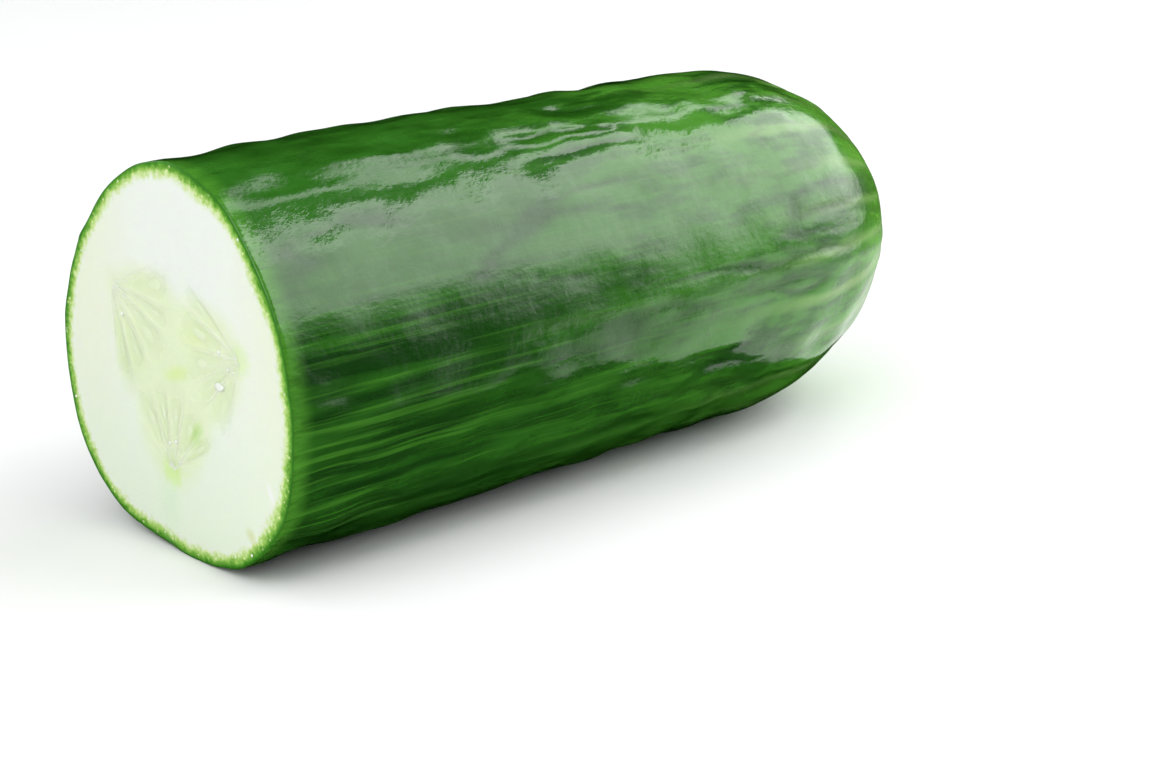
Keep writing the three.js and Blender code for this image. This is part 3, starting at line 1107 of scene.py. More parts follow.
@dataclass
class Juice:
    """Beads of juice along the rim of the cut and round the placentas."""

    plan: BodyPlan = PLAN
    rim_beads: int = 17
    core_beads: int = 3  # at each placenta
    rim_sizes: Span = (0.077, 0.182)
    rim_insets: Span = (0.6, 2.2)
    core_sizes: Span = (0.13, 0.312)
    core_reach: Span = (1.6, 4.6)
    core_lean: float = 0.8  # how far to the sides of a fan its beads lie, as a share of its width
    core_shift: float = 0.3  # by which each fan's beads are placed otherwise than the last one's
    drop_place: tuple[float, float] = (-9.2, 0.2)  # of the largest bead, across and up
    drop_size: Triple = (0.31, 0.868, 0.496)
    flatness: float = 0.5
    floor_gap: float = 0.4  # least height of a bead above the floor
    lumpiness: float = 0.4

    def beads(self) -> bpy.types.Mesh:
        """Lists the beads for their tree.

        Returns:
            A mesh with a point for each bead, which carries its size and its place on the rim.
        """
        seats: list[tuple[Triple, Triple, float, float]] = []

        def add(size: float, across: float = 0.0, up: float = 0.0, turn: float = 0.0,
                inset: float = -1.0) -> None:
            """Adds a flat round bead, at a place or on the rim."""
            seats.append(((0.0, across, up), (size * self.flatness, size, size), turn, inset))

        for number in range(self.rim_beads):
            chance = (number * GOLDEN_TURN) % 1.0
            inset = at_share(self.rim_insets, (number * math.sqrt(2)) % 1.0)
            turn = TAU * (number + chance) / self.rim_beads
            add(at_share(self.rim_sizes, chance), turn=turn, inset=inset)
        for fan, placenta in enumerate(self.plan.placentas):
            y, z = placenta.place
            for number in range(self.core_beads):
                chance = ((number + fan) * GOLDEN_TURN) % 1.0
                side = 2 * ((number * GOLDEN_TURN + self.core_shift * fan) % 1.0) - 1
                angle = placenta.angle + math.pi + self.plan.fan_half_angle * side * self.core_lean
                away = at_share(self.core_reach, chance)
                across, up = y + away * math.cos(angle), z + away * math.sin(angle)
                add(at_share(self.core_sizes, chance), across, up)
        seats.append(((0.0, *self.drop_place), self.drop_size, 0.0, -1.0))
        points, sizes, turns, insets = zip(*seats)
        marks = {"half sizes": sizes, "turn": turns, "inset": insets}
        return points_mesh("bead seats", points, marks=marks)

    def build(self, body: "Body", material: bpy.types.Material) -> bpy.types.Object:
        """Makes the beads.

        Args:
            body: The body whose rim they lie along.
            material: The juice's material.

        Returns:
            The beads, as one mesh.
        """
        recipe = Recipe("Juice beads")
        bench = recipe.bench
        coat = recipe.size("Juice", material, "Material")
        turn, inset = recipe.mark("turn"), recipe.mark("inset")
        radius = body.section_radius(recipe, turn, turn, turn * 0.0) - inset
        on_rim = inset > 0.0
        along, across, up = recipe.spot()
        across = on_rim.blend(across, radius * turn.cos())
        lowest = self.floor_gap - self.plan.rest_depth
        up = on_rim.blend(up, (radius * turn.sin()).at_least(lowest))
        seats = recipe.move(recipe.base(), bench.vector(along, across, up))
        bead = bench.get("GeometryNodeMeshIcoSphere", {"Radius": 1.0, "Subdivisions": 3})
        bead = recipe.raise_by(bead, bench.swing(recipe.place(), 1.0) * self.lumpiness)
        beads = bench.get("GeometryNodeInstanceOnPoints", {
            "Points": seats, "Instance": bead, "Scale": recipe.mark("half sizes", True)})
        beads = bench.get("GeometryNodeRealizeInstances", {"Geometry": beads})
        recipe.finish(recipe.to_row(beads, self.plan), (coat, None))
        return recipe.bake("juice_beads", self.beads())


@dataclass
class BlossomScar:
    """The corky scar where the flower fell off, in the dimple of the blossom end."""

    plan: BodyPlan = PLAN
    radius: float = 2.0
    thickness: float = 0.22
    lobes: int = 5
    lobe_height: float = 0.12
    crack_grains: Triple = (2.4, 2.4, 0.9)  # grains of its cracks, two round it and one outwards
    crack_height: float = 1.4  # heights are shares of the thickness
    crack_reach: Span = (0.85, 1.15)  # how they bite into its edge
    base_height: float = 0.5
    ring_place: float = 0.62
    ring_width: float = 0.2
    ring_height: float = 0.8
    hollow_width: float = 0.25
    hollow_depth: float = 1.2
    upper: Span = (0.0, 0.4)  # heights on the ball over which the hollow sets in
    grain: float = 0.5
    roughness: float = 0.22
    segments: int = 80
    rings: int = 40

    def build(self, material: bpy.types.Material) -> bpy.types.Object:
        """Makes the scar.

        Args:
            material: The scar's material.

        Returns:
            The scar, as a closed cap that follows the dimple.
        """
        plan, recipe = self.plan, Recipe("Blossom scar")
        bench = recipe.bench
        coat = recipe.size("Cork", material, "Material")
        size, thick = recipe.size("Radius", self.radius), recipe.size("Thickness", self.thickness)
        ball = bench.get("GeometryNodeMeshUVSphere", {"Segments": self.segments, "Rings": self.rings})
        y, z, x = recipe.spot()
        share = (y * y + z * z).root()
        around = z.math("ARCTAN2", z, y)
        lobed = (around * float(self.lobes)).cos() * self.lobe_height + 1.0
        disk = bench.vector(around.cos(), around.sin(), share)
        cracks = bench.noise(bench.vector_sum("MULTIPLY", disk, self.crack_grains), *CRACKED_NOISE)
        reach = size * lobed * cracks.blend(*self.crack_reach)
        radius = share * reach
        dome_share = radius / plan.radius
        sag = (1.0 - dome_share ** plan.dome_power).at_least(0.0) ** (1 / plan.dome_power)
        surface = sag * (plan.length - plan.dome_start) + plan.dome_start + plan.tip(radius)
        ring = (share - self.ring_place).bell(self.ring_width) * self.ring_height
        hollow = share.bell(self.hollow_width) * self.hollow_depth * x.step(*self.upper)
        lift = x * thick * (cracks * self.crack_height + ring - hollow + self.base_height)
        cap = recipe.move(ball, bench.vector(surface + lift, y * reach, z * reach))
        grain = bench.swing(bench.stretched(recipe.place(), self.grain), *FINE_NOISE)
        cap = recipe.raise_by(cap, grain * self.roughness)
        recipe.finish(recipe.to_row(cap, plan), (coat, None))
        return recipe.bake("blossom_scar", points_mesh("scar", [(0.0, 0.0, 0.0)]))


# ---------------------------------------------------------------------------------------------------
# Finishes
# ---------------------------------------------------------------------------------------------------


class Effects:
    """Node groups of effects that more than one finish uses."""

    MOTTLE_FINER = 3.7  # the smaller grain of a mottle against the larger one
    MOTTLE_LARGE = 0.72  # share of the larger grain in it
    FILM_PATCH = 2.0  # size of the patches that juice lies in, in millimetres
    FILM_HIDES = 0.7  # share of the tissue's grain that the juice hides
    TISSUE_GRAIN = 1 / 2.6

    @staticmethod
    def _group(name: str, inputs: Mapping[str, tuple[str, Any]],
               outputs: Sequence[str]) -> tuple[Bench, dict[str, Field], bpy.types.NodeTree]:
        """Starts a group.

        Args:
            name: The group's name.
            inputs: Each input's name, with its kind and its usual value.
            outputs: The names of its values.

        Returns:
            Its bench, its inputs as fields, and its tree.
        """
        tree = bpy.data.node_groups.new(name, "ShaderNodeTree")
        for label, (kind, value) in inputs.items():
            socket = tree.interface.new_socket(label, in_out="INPUT", socket_type=f"NodeSocket{kind}")
            if value is not None:
                socket.default_value = value
        for label in outputs:
            tree.interface.new_socket(label, in_out="OUTPUT", socket_type="NodeSocketFloat")
        start = tree.nodes.new("NodeGroupInput")
        return Bench(tree), {label: Field(tree, start.outputs[label]) for label in inputs}, tree

    @classmethod
    def mottle(cls) -> bpy.types.NodeTree:
        """Soft uneven patches: a larger and a smaller grain together.

        Returns:
            The group, which puts out an amount between 0 and 1.
        """
        if "Mottle" in bpy.data.node_groups:
            return bpy.data.node_groups["Mottle"]
        low, high = PATCH_TONES
        inputs = {"Place": ("Vector", None), "Low": ("Float", low), "High": ("Float", high)}
        bench, given, tree = cls._group("Mottle", inputs, ("Amount",))
        large = bench.noise(given["Place"], *PATCHY_NOISE)
        fine = bench.noise(bench.stretched(given["Place"], 1 / cls.MOTTLE_FINER))
        mixed = large * cls.MOTTLE_LARGE + fine * (1 - cls.MOTTLE_LARGE)
        bench.node("NodeGroupOutput", {"Amount": mixed.step(given["Low"], given["High"])})
        return tree

    @classmethod
    def moist_film(cls) -> bpy.types.NodeTree:
        """A film of juice over cut tissue: smooth where it lies, rougher where the tissue stands out.

        Returns:
            The group, which puts out a roughness and a height.
        """
        if "Moist film" in bpy.data.node_groups:
            return bpy.data.node_groups["Moist film"]
        inputs = {
            "Place": ("Vector", None),
            "Wet": ("Float", 0.5),
            "Smooth": ("Float", 0.12),
            "Rough": ("Float", 0.45),
        }
        bench, given, tree = cls._group("Moist film", inputs, ("Roughness", "Height"))
        patches = bench.noise(bench.stretched(given["Place"], cls.FILM_PATCH), 3.0)
        grain = bench.noise(bench.stretched(given["Place"], cls.TISSUE_GRAIN), *FINE_NOISE)
        wet = (patches + given["Wet"] - 0.5).step(*PATCH_TONES)
        roughness = given["Rough"] + (given["Smooth"] - given["Rough"]) * wet
        height = grain * (1.0 - wet * cls.FILM_HIDES)
        bench.node("NodeGroupOutput", {"Roughness": roughness, "Height": height})
        return tree


class Finish:
    """A material under construction: its nodes and its shader."""

    def __init__(self, name: str, fixed: Mapping[str, Any]) -> None:
        """Starts a material with a Principled shader.

        Args:
            name: The material's name.
            fixed: The shader's values that are the same all over the surface.
        """
        self.material = bpy.data.materials.new(name)
        self.material.use_nodes = True
        tree = self.material.node_tree
        tree.nodes.clear()
        self.bench = Bench(tree)
        self.shader = self.bench.node("ShaderNodeBsdfPrincipled", fixed)
        self.bench.node("ShaderNodeOutputMaterial", {"Surface": self.shader.outputs[0]})

    def place(self) -> Field:
        """The place on the object, in millimetres."""
        place = self.bench.get("ShaderNodeTexCoord", output="Object")
        return self.bench.vector_sum("MULTIPLY", place, (MILLIMETRES,) * 3)

    def mark(self, mark: Mark, output: str = "Fac") -> Field:
        """One of the values that are stored on the body."""
        return self.bench.get("ShaderNodeAttribute", output=output, attribute_name=mark.value)

    def effect(self, group: bpy.types.NodeTree, **values: Any) -> list[Field]:
        """Adds an effect and returns its values."""
        node = self.bench.node("ShaderNodeGroup", node_tree=group)
        for name, value in values.items():
            plug(self.bench.tree, node.inputs[name], value)
        return [Field(self.bench.tree, output) for output in node.outputs]

    def mottle(self, place: Field, low: float = PATCH_TONES[0], high: float = PATCH_TONES[1]) -> Field:
        """Soft patches, a grain to each unit of the place: none under low and full over high."""
        return self.effect(Effects.mottle(), Place=place, Low=low, High=high)[0]

    def film(self, place: Field, wet: Any, smooth: float, rough: float) -> list[Field]:
        """The roughness and the relief of a film of juice."""
        return self.effect(Effects.moist_film(), Place=place, Wet=wet, Smooth=smooth, Rough=rough)

    def relief(self, height: Field) -> Field:
        """A bump of a height in millimetres."""
        return self.bench.get("ShaderNodeBump", {"Height": height, "Distance": METRES})

    def done(self, values: Mapping[str, Any]) -> bpy.types.Material:
        """Feeds the shader and returns the material."""
        for name, value in values.items():
            plug(self.bench.tree, self.shader.inputs[name], value)
        return self.material


@dataclass(frozen=True)
class SkinFinish:
    """Waxy green skin, mottled and streaked along its length, with pale stripes at the blossom end, and
    with painted shade in its creases and a painted shadow on the lower flank by the cut.
    """

    deep: Colour = (0.014, 0.080, 0.005)
    leaf: Colour = (0.030, 0.150, 0.013)
    bright: Colour = (0.080, 0.290, 0.026)
    tip: Colour = (0.145, 0.410, 0.048)
    pale: Colour = (0.300, 0.450, 0.160)
    # painted shade: the dark green of the painted shadow by the cut and of the painted shade in the creases
    shaded: Colour = (0.006, 0.038, 0.004)
    patch_grain: Grain = (14.0, 5.0)
    fleck_grain: Grain = (3.2, 0.9)
    fleck_tones: Span = (0.3, 0.7)
    fleck_share: float = 0.45
    line_grain: Grain = (30.0, 0.7)
    light_lines: Span = (0.5, 0.78)
    light_line_share: float = 0.12
    dark_lines: Span = (0.5, 0.25)
    dark_line_share: float = 0.2
    even_angle: float = math.radians(38)  # up from the near side, where the skin is of a more even green
    even_spread: Span = (math.cos(math.radians(36)), math.cos(math.radians(14)))
    even_share: float = 0.6
    even_tone: float = 0.55
    stripes: int = 24
    stripe_turn: float = math.radians(128)
    stripe_reach: Span = (50.0, 125.0)
    stripe_edge: Span = (0.22, 0.02)  # shares of the distance from one stripe to the next
    stripe_grain: Grain = (16.0, 2.2)
    stripe_raggedness: float = 0.3
    stripe_gap_grain: Grain = (40.0, 9.0)
    stripe_gaps: Span = (0.12, 0.9)
    stripe_strength: float = 0.42
    sunny_lines: float = 0.6
    sunny_tones: Span = (0.3, 1.1)
    sunny_reach: Span = (25.0, 90.0)
    sunny_heights: Span = (14.0, 22.0)  # above the axis
    sunny_shares: Span = (0.45, 0.9)
    tip_reach: Span = (88.0, 108.0)
    tip_shares: Span = (0.5, 0.95)
    painted_shadow_angle: float = math.radians(-12)  # up from the near side, where the painted shadow on the skin by the cut is darkest
    painted_shadow_spread: Span = (math.cos(math.radians(46)), math.cos(math.radians(26)))
    painted_shadow_reach: Span = (96.0, 4.0)
    painted_shadow_grain: Grain = (26.0, 2.2)
    painted_shadow_bands: Span = (0.62, 0.4)
    painted_shadow_shares: Span = (0.35, 1.0)
    glow_lines: Span = (0.5, 0.66)  # bright lines painted through the bands of painted shadow
    glow_share: float = 0.7
    # painted shade: how far the creases are darkened towards the shaded green
    crease_painted_shade: float = 0.6
    rim_reach: Span = (3.2, 0.4)  # the skin is brighter beside the cut
    rim_shares: Span = (0.35, 0.8)
    pit_grain: Grain = (0.8, 0.6)
    pit_height: float = 0.05
    pucker_grain: Grain = (2.0, 2.6)
    pucker_height: float = 0.1
    wax_grain: Grain = (1.3, 0.9)
    wax_height: float = 0.05  # also of the puckers that show in the wax
    roughness: Span = (0.13, 0.19)
    crease_roughness: float = 0.1
    bloom_grain: Grain = (1.5, 3.4)
    bloom_tones: Span = (0.25, 0.75)
    bloom_share: float = 0.2
    cloud_grain: Grain = (7.0, 6.0)
    cloud_tones: Span = (0.3, 0.7)
    cloud_share: float = 0.15
    least_wax: float = 0.75
    wax_reach: Span = (-20.0, 90.0)
    wax_shares: Span = (0.65, 0.95)
    bare_tip: Span = (104.0, 84.0)
    bare_share: float = 0.3

    def facing(self, y: Field, z: Field, angle: float) -> Field:
        """How squarely the skin faces a direction: the cosine of its turn from it."""
        return y * (-math.cos(angle) / PLAN.radius) + z * (math.sin(angle) / PLAN.radius)

    def stripe(self, bench: Bench, place: Field) -> Field:
        """The pale stripes, which are ragged and broken and fade towards the cut.

        Args:
            bench: The material's bench.
            place: The place on the unrolled skin.

        Returns:
            Where the stripes are, from 0 to 1.
        """
        along, y, z = bench.split(place)
        share = (z.math("ARCTAN2", z, y) - self.stripe_turn) * (self.stripes / TAU)
        ragged = bench.swing(bench.stretched(place, *self.stripe_grain), *FINE_NOISE)
        offset = abs(share - share.round()) + ragged * self.stripe_raggedness
        broken = bench.noise(bench.stretched(place, *self.stripe_gap_grain), 1.0)
        lasting = (along.step(*self.stripe_reach) + broken - 0.5).step(*self.stripe_gaps)
        return offset.step(*self.stripe_edge) * lasting

    def colour(self, finish: "Finish", place: Field, flecks: Field, crease: Field) -> Field:
        """The skin's colour, with painted shade in its creases and a painted shadow on the lower flank by
        the cut.

        Args:
            finish: The material that it is added to.
            place: The place on the unrolled skin.
            flecks: Where its flecks are.
            crease: How deep in a crease each point is.

        Returns:
            The colour.
        """
        bench = finish.bench
        along, y, z = bench.split(place)
        patches = finish.mottle(bench.stretched(place, *self.patch_grain))
        lines = bench.noise(bench.stretched(place, *self.line_grain), *FINE_NOISE)
        even = self.facing(y, z, self.even_angle).step(*self.even_spread) * self.even_share
        tone = patches + even * (self.even_tone - patches)
        colour = bench.mix(tone, self.deep, self.leaf)
        colour = bench.mix(flecks * self.fleck_share, colour, self.leaf)
        colour = bench.mix(lines.step(*self.light_lines) * self.light_line_share, colour, self.bright)
        colour = bench.mix(lines.step(*self.dark_lines) * self.dark_line_share, colour, self.deep)
        sunny = (patches + lines * self.sunny_lines).step(*self.sunny_tones) * along.step(*self.sunny_reach)
        sunny = sunny * z.step(*self.sunny_heights).blend(*self.sunny_shares)
        colour = bench.mix(sunny, colour, self.bright)
        colour = bench.mix(along.step(*self.tip_reach) * patches.blend(*self.tip_shares), colour, self.tip)
        colour = bench.mix(self.stripe(bench, place) * self.stripe_strength, colour, self.pale)
        # Painted shadow: a dark patch on the lower flank by the cut, banded along its length, stands in for
        # shade.
        painted_shadow = self.facing(y, z, self.painted_shadow_angle).step(*self.painted_shadow_spread) * along.step(*self.painted_shadow_reach)
        bands = bench.noise(bench.stretched(place, *self.painted_shadow_grain))
        dark = painted_shadow * bands.step(*self.painted_shadow_bands).blend(*self.painted_shadow_shares)
        colour = bench.mix(dark, colour, self.shaded)
        # Brighter green streaks painted through the painted shadow.
        glow = painted_shadow * lines.step(*self.glow_lines) * bands * self.glow_share
        colour = bench.mix(glow, colour, self.bright)
        # Painted shade in the creases.
        colour = bench.mix(crease * self.crease_painted_shade, colour, self.shaded)
        return bench.mix(along.step(*self.rim_reach) * flecks.blend(*self.rim_shares), colour, self.bright)

    def wax(self, finish: "Finish", place: Field) -> Field:
        """The wax: cloudy, thinner near the cut and thinnest at the tip.

        Args:
            finish: The material that it is added to.
            place: The place on the unrolled skin.

        Returns:
            How thick it is, from 0 to 1.
        """
        bench = finish.bench
        along = bench.split(place)[0]
        bloom = finish.mottle(bench.stretched(place, *self.bloom_grain), *self.bloom_tones)
        clouds = finish.mottle(bench.stretched(place, *self.cloud_grain), *self.cloud_tones)
        wax = bloom * self.bloom_share + clouds * self.cloud_share + self.least_wax
        wax = wax * along.step(*self.wax_reach).blend(*self.wax_shares)
        return wax * along.step(*self.bare_tip).blend(self.bare_share, 1.0)

    def build(self) -> bpy.types.Material:
        """Makes the skin's material."""
        finish = Finish("Waxy skin", {
            "IOR": 1.48, "Specular IOR Level": 0.2, "Coat Roughness": 0.07, "Coat IOR": 1.62})
        bench = finish.bench
        place, crease = finish.mark(Mark.UNROLLED, "Vector"), finish.mark(Mark.CREASE)
        flecks = finish.mottle(bench.stretched(place, *self.fleck_grain), *self.fleck_tones)
        pits = bench.noise(bench.stretched(place, *self.pit_grain), *FINE_NOISE)
        puckers = bench.noise(bench.stretched(place, *self.pucker_grain))
        waxy = bench.noise(bench.stretched(place, *self.wax_grain), *FINE_NOISE)
        return finish.done({
            "Base Color": self.colour(finish, place, flecks, crease),
            "Roughness": flecks.blend(*self.roughness) + crease * self.crease_roughness,
            "Coat Weight": self.wax(finish, place),
            "Normal": finish.relief(pits * self.pit_height + puckers * self.pucker_height),
            "Coat Normal": finish.relief(waxy * self.wax_height + puckers * self.wax_height),
        })


@dataclass(frozen=True)
class ColourPatch:
    """A soft patch of another colour on the cut, with its place across and up from the axis. Most are
    stains; the near-white streak by the rim is a painted highlight.
    """

    across: float
    up: float
    length: float
    width: float
    turn: float
    strength: float
    colour: Colour


@dataclass(frozen=True)
class FleshFinish:
    """Moist pale flesh, green under the skin and translucent in the seed pockets."""

    pale: Colour = (0.825, 0.870, 0.805)
    warm: Colour = (0.815, 0.860, 0.700)
    low: Colour = (0.785, 0.870, 0.715)
    inner: Colour = (0.755, 0.850, 0.560)
    gel: Colour = (0.700, 0.820, 0.480)
    gel_light: Colour = (0.750, 0.850, 0.560)
    placenta: Colour = (0.655, 0.865, 0.330)
    ray: Colour = (0.820, 0.880, 0.720)
    speck: Colour = (0.840, 0.900, 0.480)
    rind: tuple[tuple[float, Colour], ...] = (
        (0.0, (0.016, 0.110, 0.005)),
        (0.06, (0.045, 0.230, 0.010)),
        (0.13, (0.150, 0.400, 0.040)),
        (0.22, (0.360, 0.600, 0.120)),
        (0.30, (0.620, 0.770, 0.340)),
        (0.42, (0.800, 0.860, 0.740)),
    )
    colour_patches: tuple[ColourPatch, ...] = (
        ColourPatch(9.4, -1.4, 4.6, 3.4, math.radians(96), 0.75, (0.690, 0.800, 0.510)),
        ColourPatch(-4.4, 4.8, 4.2, 2.4, math.radians(-12), 0.5, (0.740, 0.850, 0.450)),
        ColourPatch(-3.9, -6.9, 2.7, 1.4, math.radians(131), 0.9, (0.560, 0.780, 0.310)),
        ColourPatch(-0.5, -0.3, 3.6, 1.3, math.radians(163), 0.75, (0.680, 0.830, 0.330)),
        ColourPatch(-14.4, -16.6, 1.6, 1.1, math.radians(40), 0.55, (0.620, 0.660, 0.260)),
        # Painted highlight: a near-white glint streak by the right rim, painted into the flesh's colour.
        ColourPatch(-18.4, -10.2, 1.8, 0.6, math.radians(60), 0.8, (0.880, 0.900, 0.880)),
        ColourPatch(2.2, -17.0, 5.0, 3.2, math.radians(90), 0.5, (0.660, 0.840, 0.600)),
    )
    rind_depth: float = 5.0
    rind_waviness: Span = (0.55, 1.45)  # shares of its depth, from place to place
    rind_wave: float = 9.0
    rind_end: Span = (0.38, 0.54)  # shares of its depth over which the flesh takes over
    crumb: float = 0.8  # size of the crumbs that edges are broken into
    rind_crumbs: float = 2.4  # how far the crumbs reach over each edge
    rind_crumbs_from: Span = (0.0, 0.9)  # under the skin
    core_crumbs: float = 2.0
    spot_crumbs: float = 1.8
    colour_patch_crumbs: float = 0.7
    soft_grain: float = 2.2
    middle: float = -2.0  # how far across the palest flesh is
    warm_reach: Span = (6.0, 20.0)
    low_reach: Span = (8.0, -20.0)
    cell_size: float = 1.1
    cell_middle: Span = (0.22, 0.08)
    speck_depths: tuple[Span, Span] = ((0.3, 0.6), (2.2, 1.4))  # where they begin and where they end
    speck_share: float = 0.7
    core_radius: float = 12.0
    core_sides: float = 3.0
    core_corners: float = 2.6  # how far they stand out
    core_angle: float = math.radians(37.7)
    core_edge: Span = (1.8, -2.2)
    core_share: float = 0.85
    gel_blur: float = 0.25
    gel_edge: Span = (0.0, 1.05)
    gel_shares: Span = (0.15, 0.8)
    gel_variety: float = 0.5
    ray_width: float = 1 / 9  # radians from one pale ray of a placenta to the next
    ray_length: float = 1 / 0.12
    ray_noise: Span = (2.0, 0.6)
    ray_edge: Span = (0.52, 0.66)
    ray_reach: Span = (12.0, 3.0)
    ray_share: float = 0.6
    spot_reach: Span = (2.6, 0.9)
    colour_patch_edge: Span = (1.1, 0.1)
    pocket_wetness: Span = (0.1, 0.8)
    smooth: float = 0.15
    rough: float = 0.42
    pocket_coat: Span = (0.2, 0.5)
    grain_height: float = 0.05
    scratches: Triple = (0.0, 0.25, 3.5)  # to a millimetre along, across and up
    scratch_height: float = 0.02

    def ramp(self, finish: "Finish", depth: Field) -> Field:
        """The colours of the rind.

        Args:
            finish: The material that they are added to.
            depth: The depth under the skin, as a share of the rind's.

        Returns:
            The colour at that depth.
        """
        ramp = finish.bench.node("ShaderNodeValToRGB", {"Fac": depth})
        stops = ramp.color_ramp.elements
        while len(stops) < len(self.rind):
            stops.new(0.5)
        for stop, (position, colour) in zip(stops, self.rind):
            stop.position, stop.color = position, (*colour, 1.0)
        return Field(finish.bench.tree, ramp.outputs["Color"])

    def wall(self, finish: "Finish", place: Field, flat: Field, nibbles: Field) -> Field:
        """The colour of the flesh between the skin and the core.

        Args:
            finish: The material that it is added to.
            place: The place on the object.
            flat: The place across and up from the axis.
            nibbles: Fine noise that breaks up edges.

        Returns:
            The colour.
        """
        bench = finish.bench
        _, y, z = bench.split(flat)
        under = finish.mark(Mark.UNDER_SKIN)
        waves = bench.noise(bench.stretched(place, self.rind_wave), 1.0)
        crumbs = nibbles * self.rind_crumbs * under.step(*self.rind_crumbs_from)
        depth = (under / waves.blend(*self.rind_waviness) + crumbs) / self.rind_depth
        colour = bench.mix(abs(y - self.middle).step(*self.warm_reach), self.pale, self.warm)
        colour = bench.mix(z.step(*self.low_reach), colour, self.low)
        colour = bench.mix(depth.step(*self.rind_end), self.ramp(finish, depth), colour)
        cells = bench.get("ShaderNodeTexVoronoi", {
            "Vector": bench.stretched(place, self.cell_size), "Scale": 1.0})
        begin, end = self.speck_depths
        specks = cells.step(*self.cell_middle) * under.step(*begin) * under.step(*end)
        return bench.mix(specks * self.speck_share, colour, self.speck)

    def core(self, flat: Field, bench: Bench, nibbles: Field) -> Field:
        """The soft, three-cornered core.

        Args:
            flat: The place across and up from the axis.
            bench: The material's bench.
            nibbles: Fine noise that breaks up its edge.

        Returns:
            Where the core is, from 0 to 1.
        """
        _, y, z = bench.split(flat)
        away = (y * y + z * z).root()
        bearing = z.math("ARCTAN2", z, y)
        edge = ((bearing - self.core_angle) * self.core_sides).cos() * self.core_corners + self.core_radius
        return (away - edge + nibbles * self.core_crumbs).step(*self.core_edge)

    def build(self, plan: BodyPlan) -> bpy.types.Material:
        """Makes the flesh's material.

        Args:
            plan: The body that the flesh belongs to, for the places of its fans.

        Returns:
            The material.
        """
        finish = Finish("Moist flesh", {
            "IOR": 1.38, "Subsurface Weight": 0.35, "Subsurface Radius": (1.0, 1.3, 0.7),
            "Subsurface Scale": 0.0012, "Coat Roughness": 0.08, "Coat IOR": 1.33})
        bench, place = finish.bench, finish.place()
        _, y, z = bench.split(place)
        flat = bench.vector(0.0, y - plan.axis_across, z - plan.rest_depth)
        soft = finish.mottle(bench.stretched(place, self.soft_grain))
        nibbles = bench.swing(bench.stretched(place, self.crumb), *CRUMBLY_NOISE)
        core = self.core(flat, bench, nibbles)
        colour = bench.mix(core * self.core_share, self.wall(finish, place, flat, nibbles), self.inner)

        pocket, tone = finish.mark(Mark.POCKET), finish.mark(Mark.TONE)
        blurred = (pocket + (soft - 0.5) * self.gel_blur).step(*self.gel_edge)
        gel = bench.mix(soft * self.gel_variety, self.gel, self.gel_light)
        colour = bench.mix(blurred * tone.blend(*self.gel_shares), colour, gel)
        for fan in plan.placentas:
            offset = bench.vector_sum("SUBTRACT", flat, (0.0, *fan.place))
            near = bench.vector_sum("LENGTH", offset, output="Value")
            _, oy, oz = bench.split(offset)
            ray_place = bench.vector(oz.math("ARCTAN2", oz, oy) / self.ray_width, near / self.ray_length,
                                     float(fan.pockets))
            rays = bench.noise(ray_place, *self.ray_noise).step(*self.ray_edge) * near.step(*self.ray_reach)
            colour = bench.mix(rays * core * self.ray_share, colour, self.ray)
            spot = (near + nibbles * self.spot_crumbs).step(*self.spot_reach)
            colour = bench.mix(spot * fan.greenness, colour, self.placenta)
        for colour_patch in self.colour_patches:
            offset = bench.vector_sum("SUBTRACT", flat, (0.0, colour_patch.across, colour_patch.up))
            turned = bench.get("ShaderNodeVectorRotate", {
                "Vector": offset, "Angle": -colour_patch.turn}, rotation_type="X_AXIS")
            size = bench.vector_sum(
                "LENGTH", bench.shares(turned, (1.0, colour_patch.length, colour_patch.width)), output="Value")
            patch = (size + nibbles * self.colour_patch_crumbs).step(*self.colour_patch_edge)
            colour = bench.mix(patch * colour_patch.strength, colour, colour_patch.colour)

        roughness, grain = finish.film(place, pocket.blend(*self.pocket_wetness), self.smooth, self.rough)
        scratches = bench.noise(bench.vector_sum("MULTIPLY", flat, self.scratches))
        return finish.done({
            "Base Color": colour,
            "Roughness": roughness,
            "Coat Weight": pocket.blend(*self.pocket_coat),
            "Normal": finish.relief(grain * self.grain_height + scratches * self.scratch_height),
        })


@dataclass(frozen=True)
class WetFinish:
    """A wet and slightly cloudy tissue that stands out of the flesh."""

    name: str
    clear: Colour
    cloudy: Colour
    cloud_size: float
    wetness: float
    smooth: float  # its roughness where the juice lies on it
    rough: float  # its roughness where it is bare
    coat: tuple[float, float]  # where it is clear, and where it is cloudy
    grain_height: float

    def build(self) -> bpy.types.Material:
        """Makes the material."""
        finish = Finish(self.name, {"IOR": 1.38, "Coat Roughness": 0.06, "Coat IOR": 1.33})
        bench, place = finish.bench, finish.place()
        clouds = finish.mottle(bench.stretched(place, self.cloud_size))
        roughness, grain = finish.film(place, self.wetness, self.smooth, self.rough)
        return finish.done({
            "Base Color": bench.mix(clouds, self.clear, self.cloudy),
            "Roughness": roughness,
            "Coat Weight": clouds.blend(*self.coat),
            "Normal": finish.relief(grain * self.grain_height),
        })


SEED_FINISH = WetFinish("Unripe seed", (0.745, 0.852, 0.550), (0.785, 0.868, 0.640), cloud_size=1.8,
                        wetness=0.9, smooth=0.08, rough=0.3, coat=(0.5, 0.3), grain_height=0.06)
THREAD_FINISH = WetFinish("Pale thread", (0.90, 0.94, 0.83), (0.87, 0.92, 0.75), cloud_size=3.0,
                          wetness=0.8, smooth=0.1, rough=0.35, coat=(0.3, 0.15), grain_height=0.05)


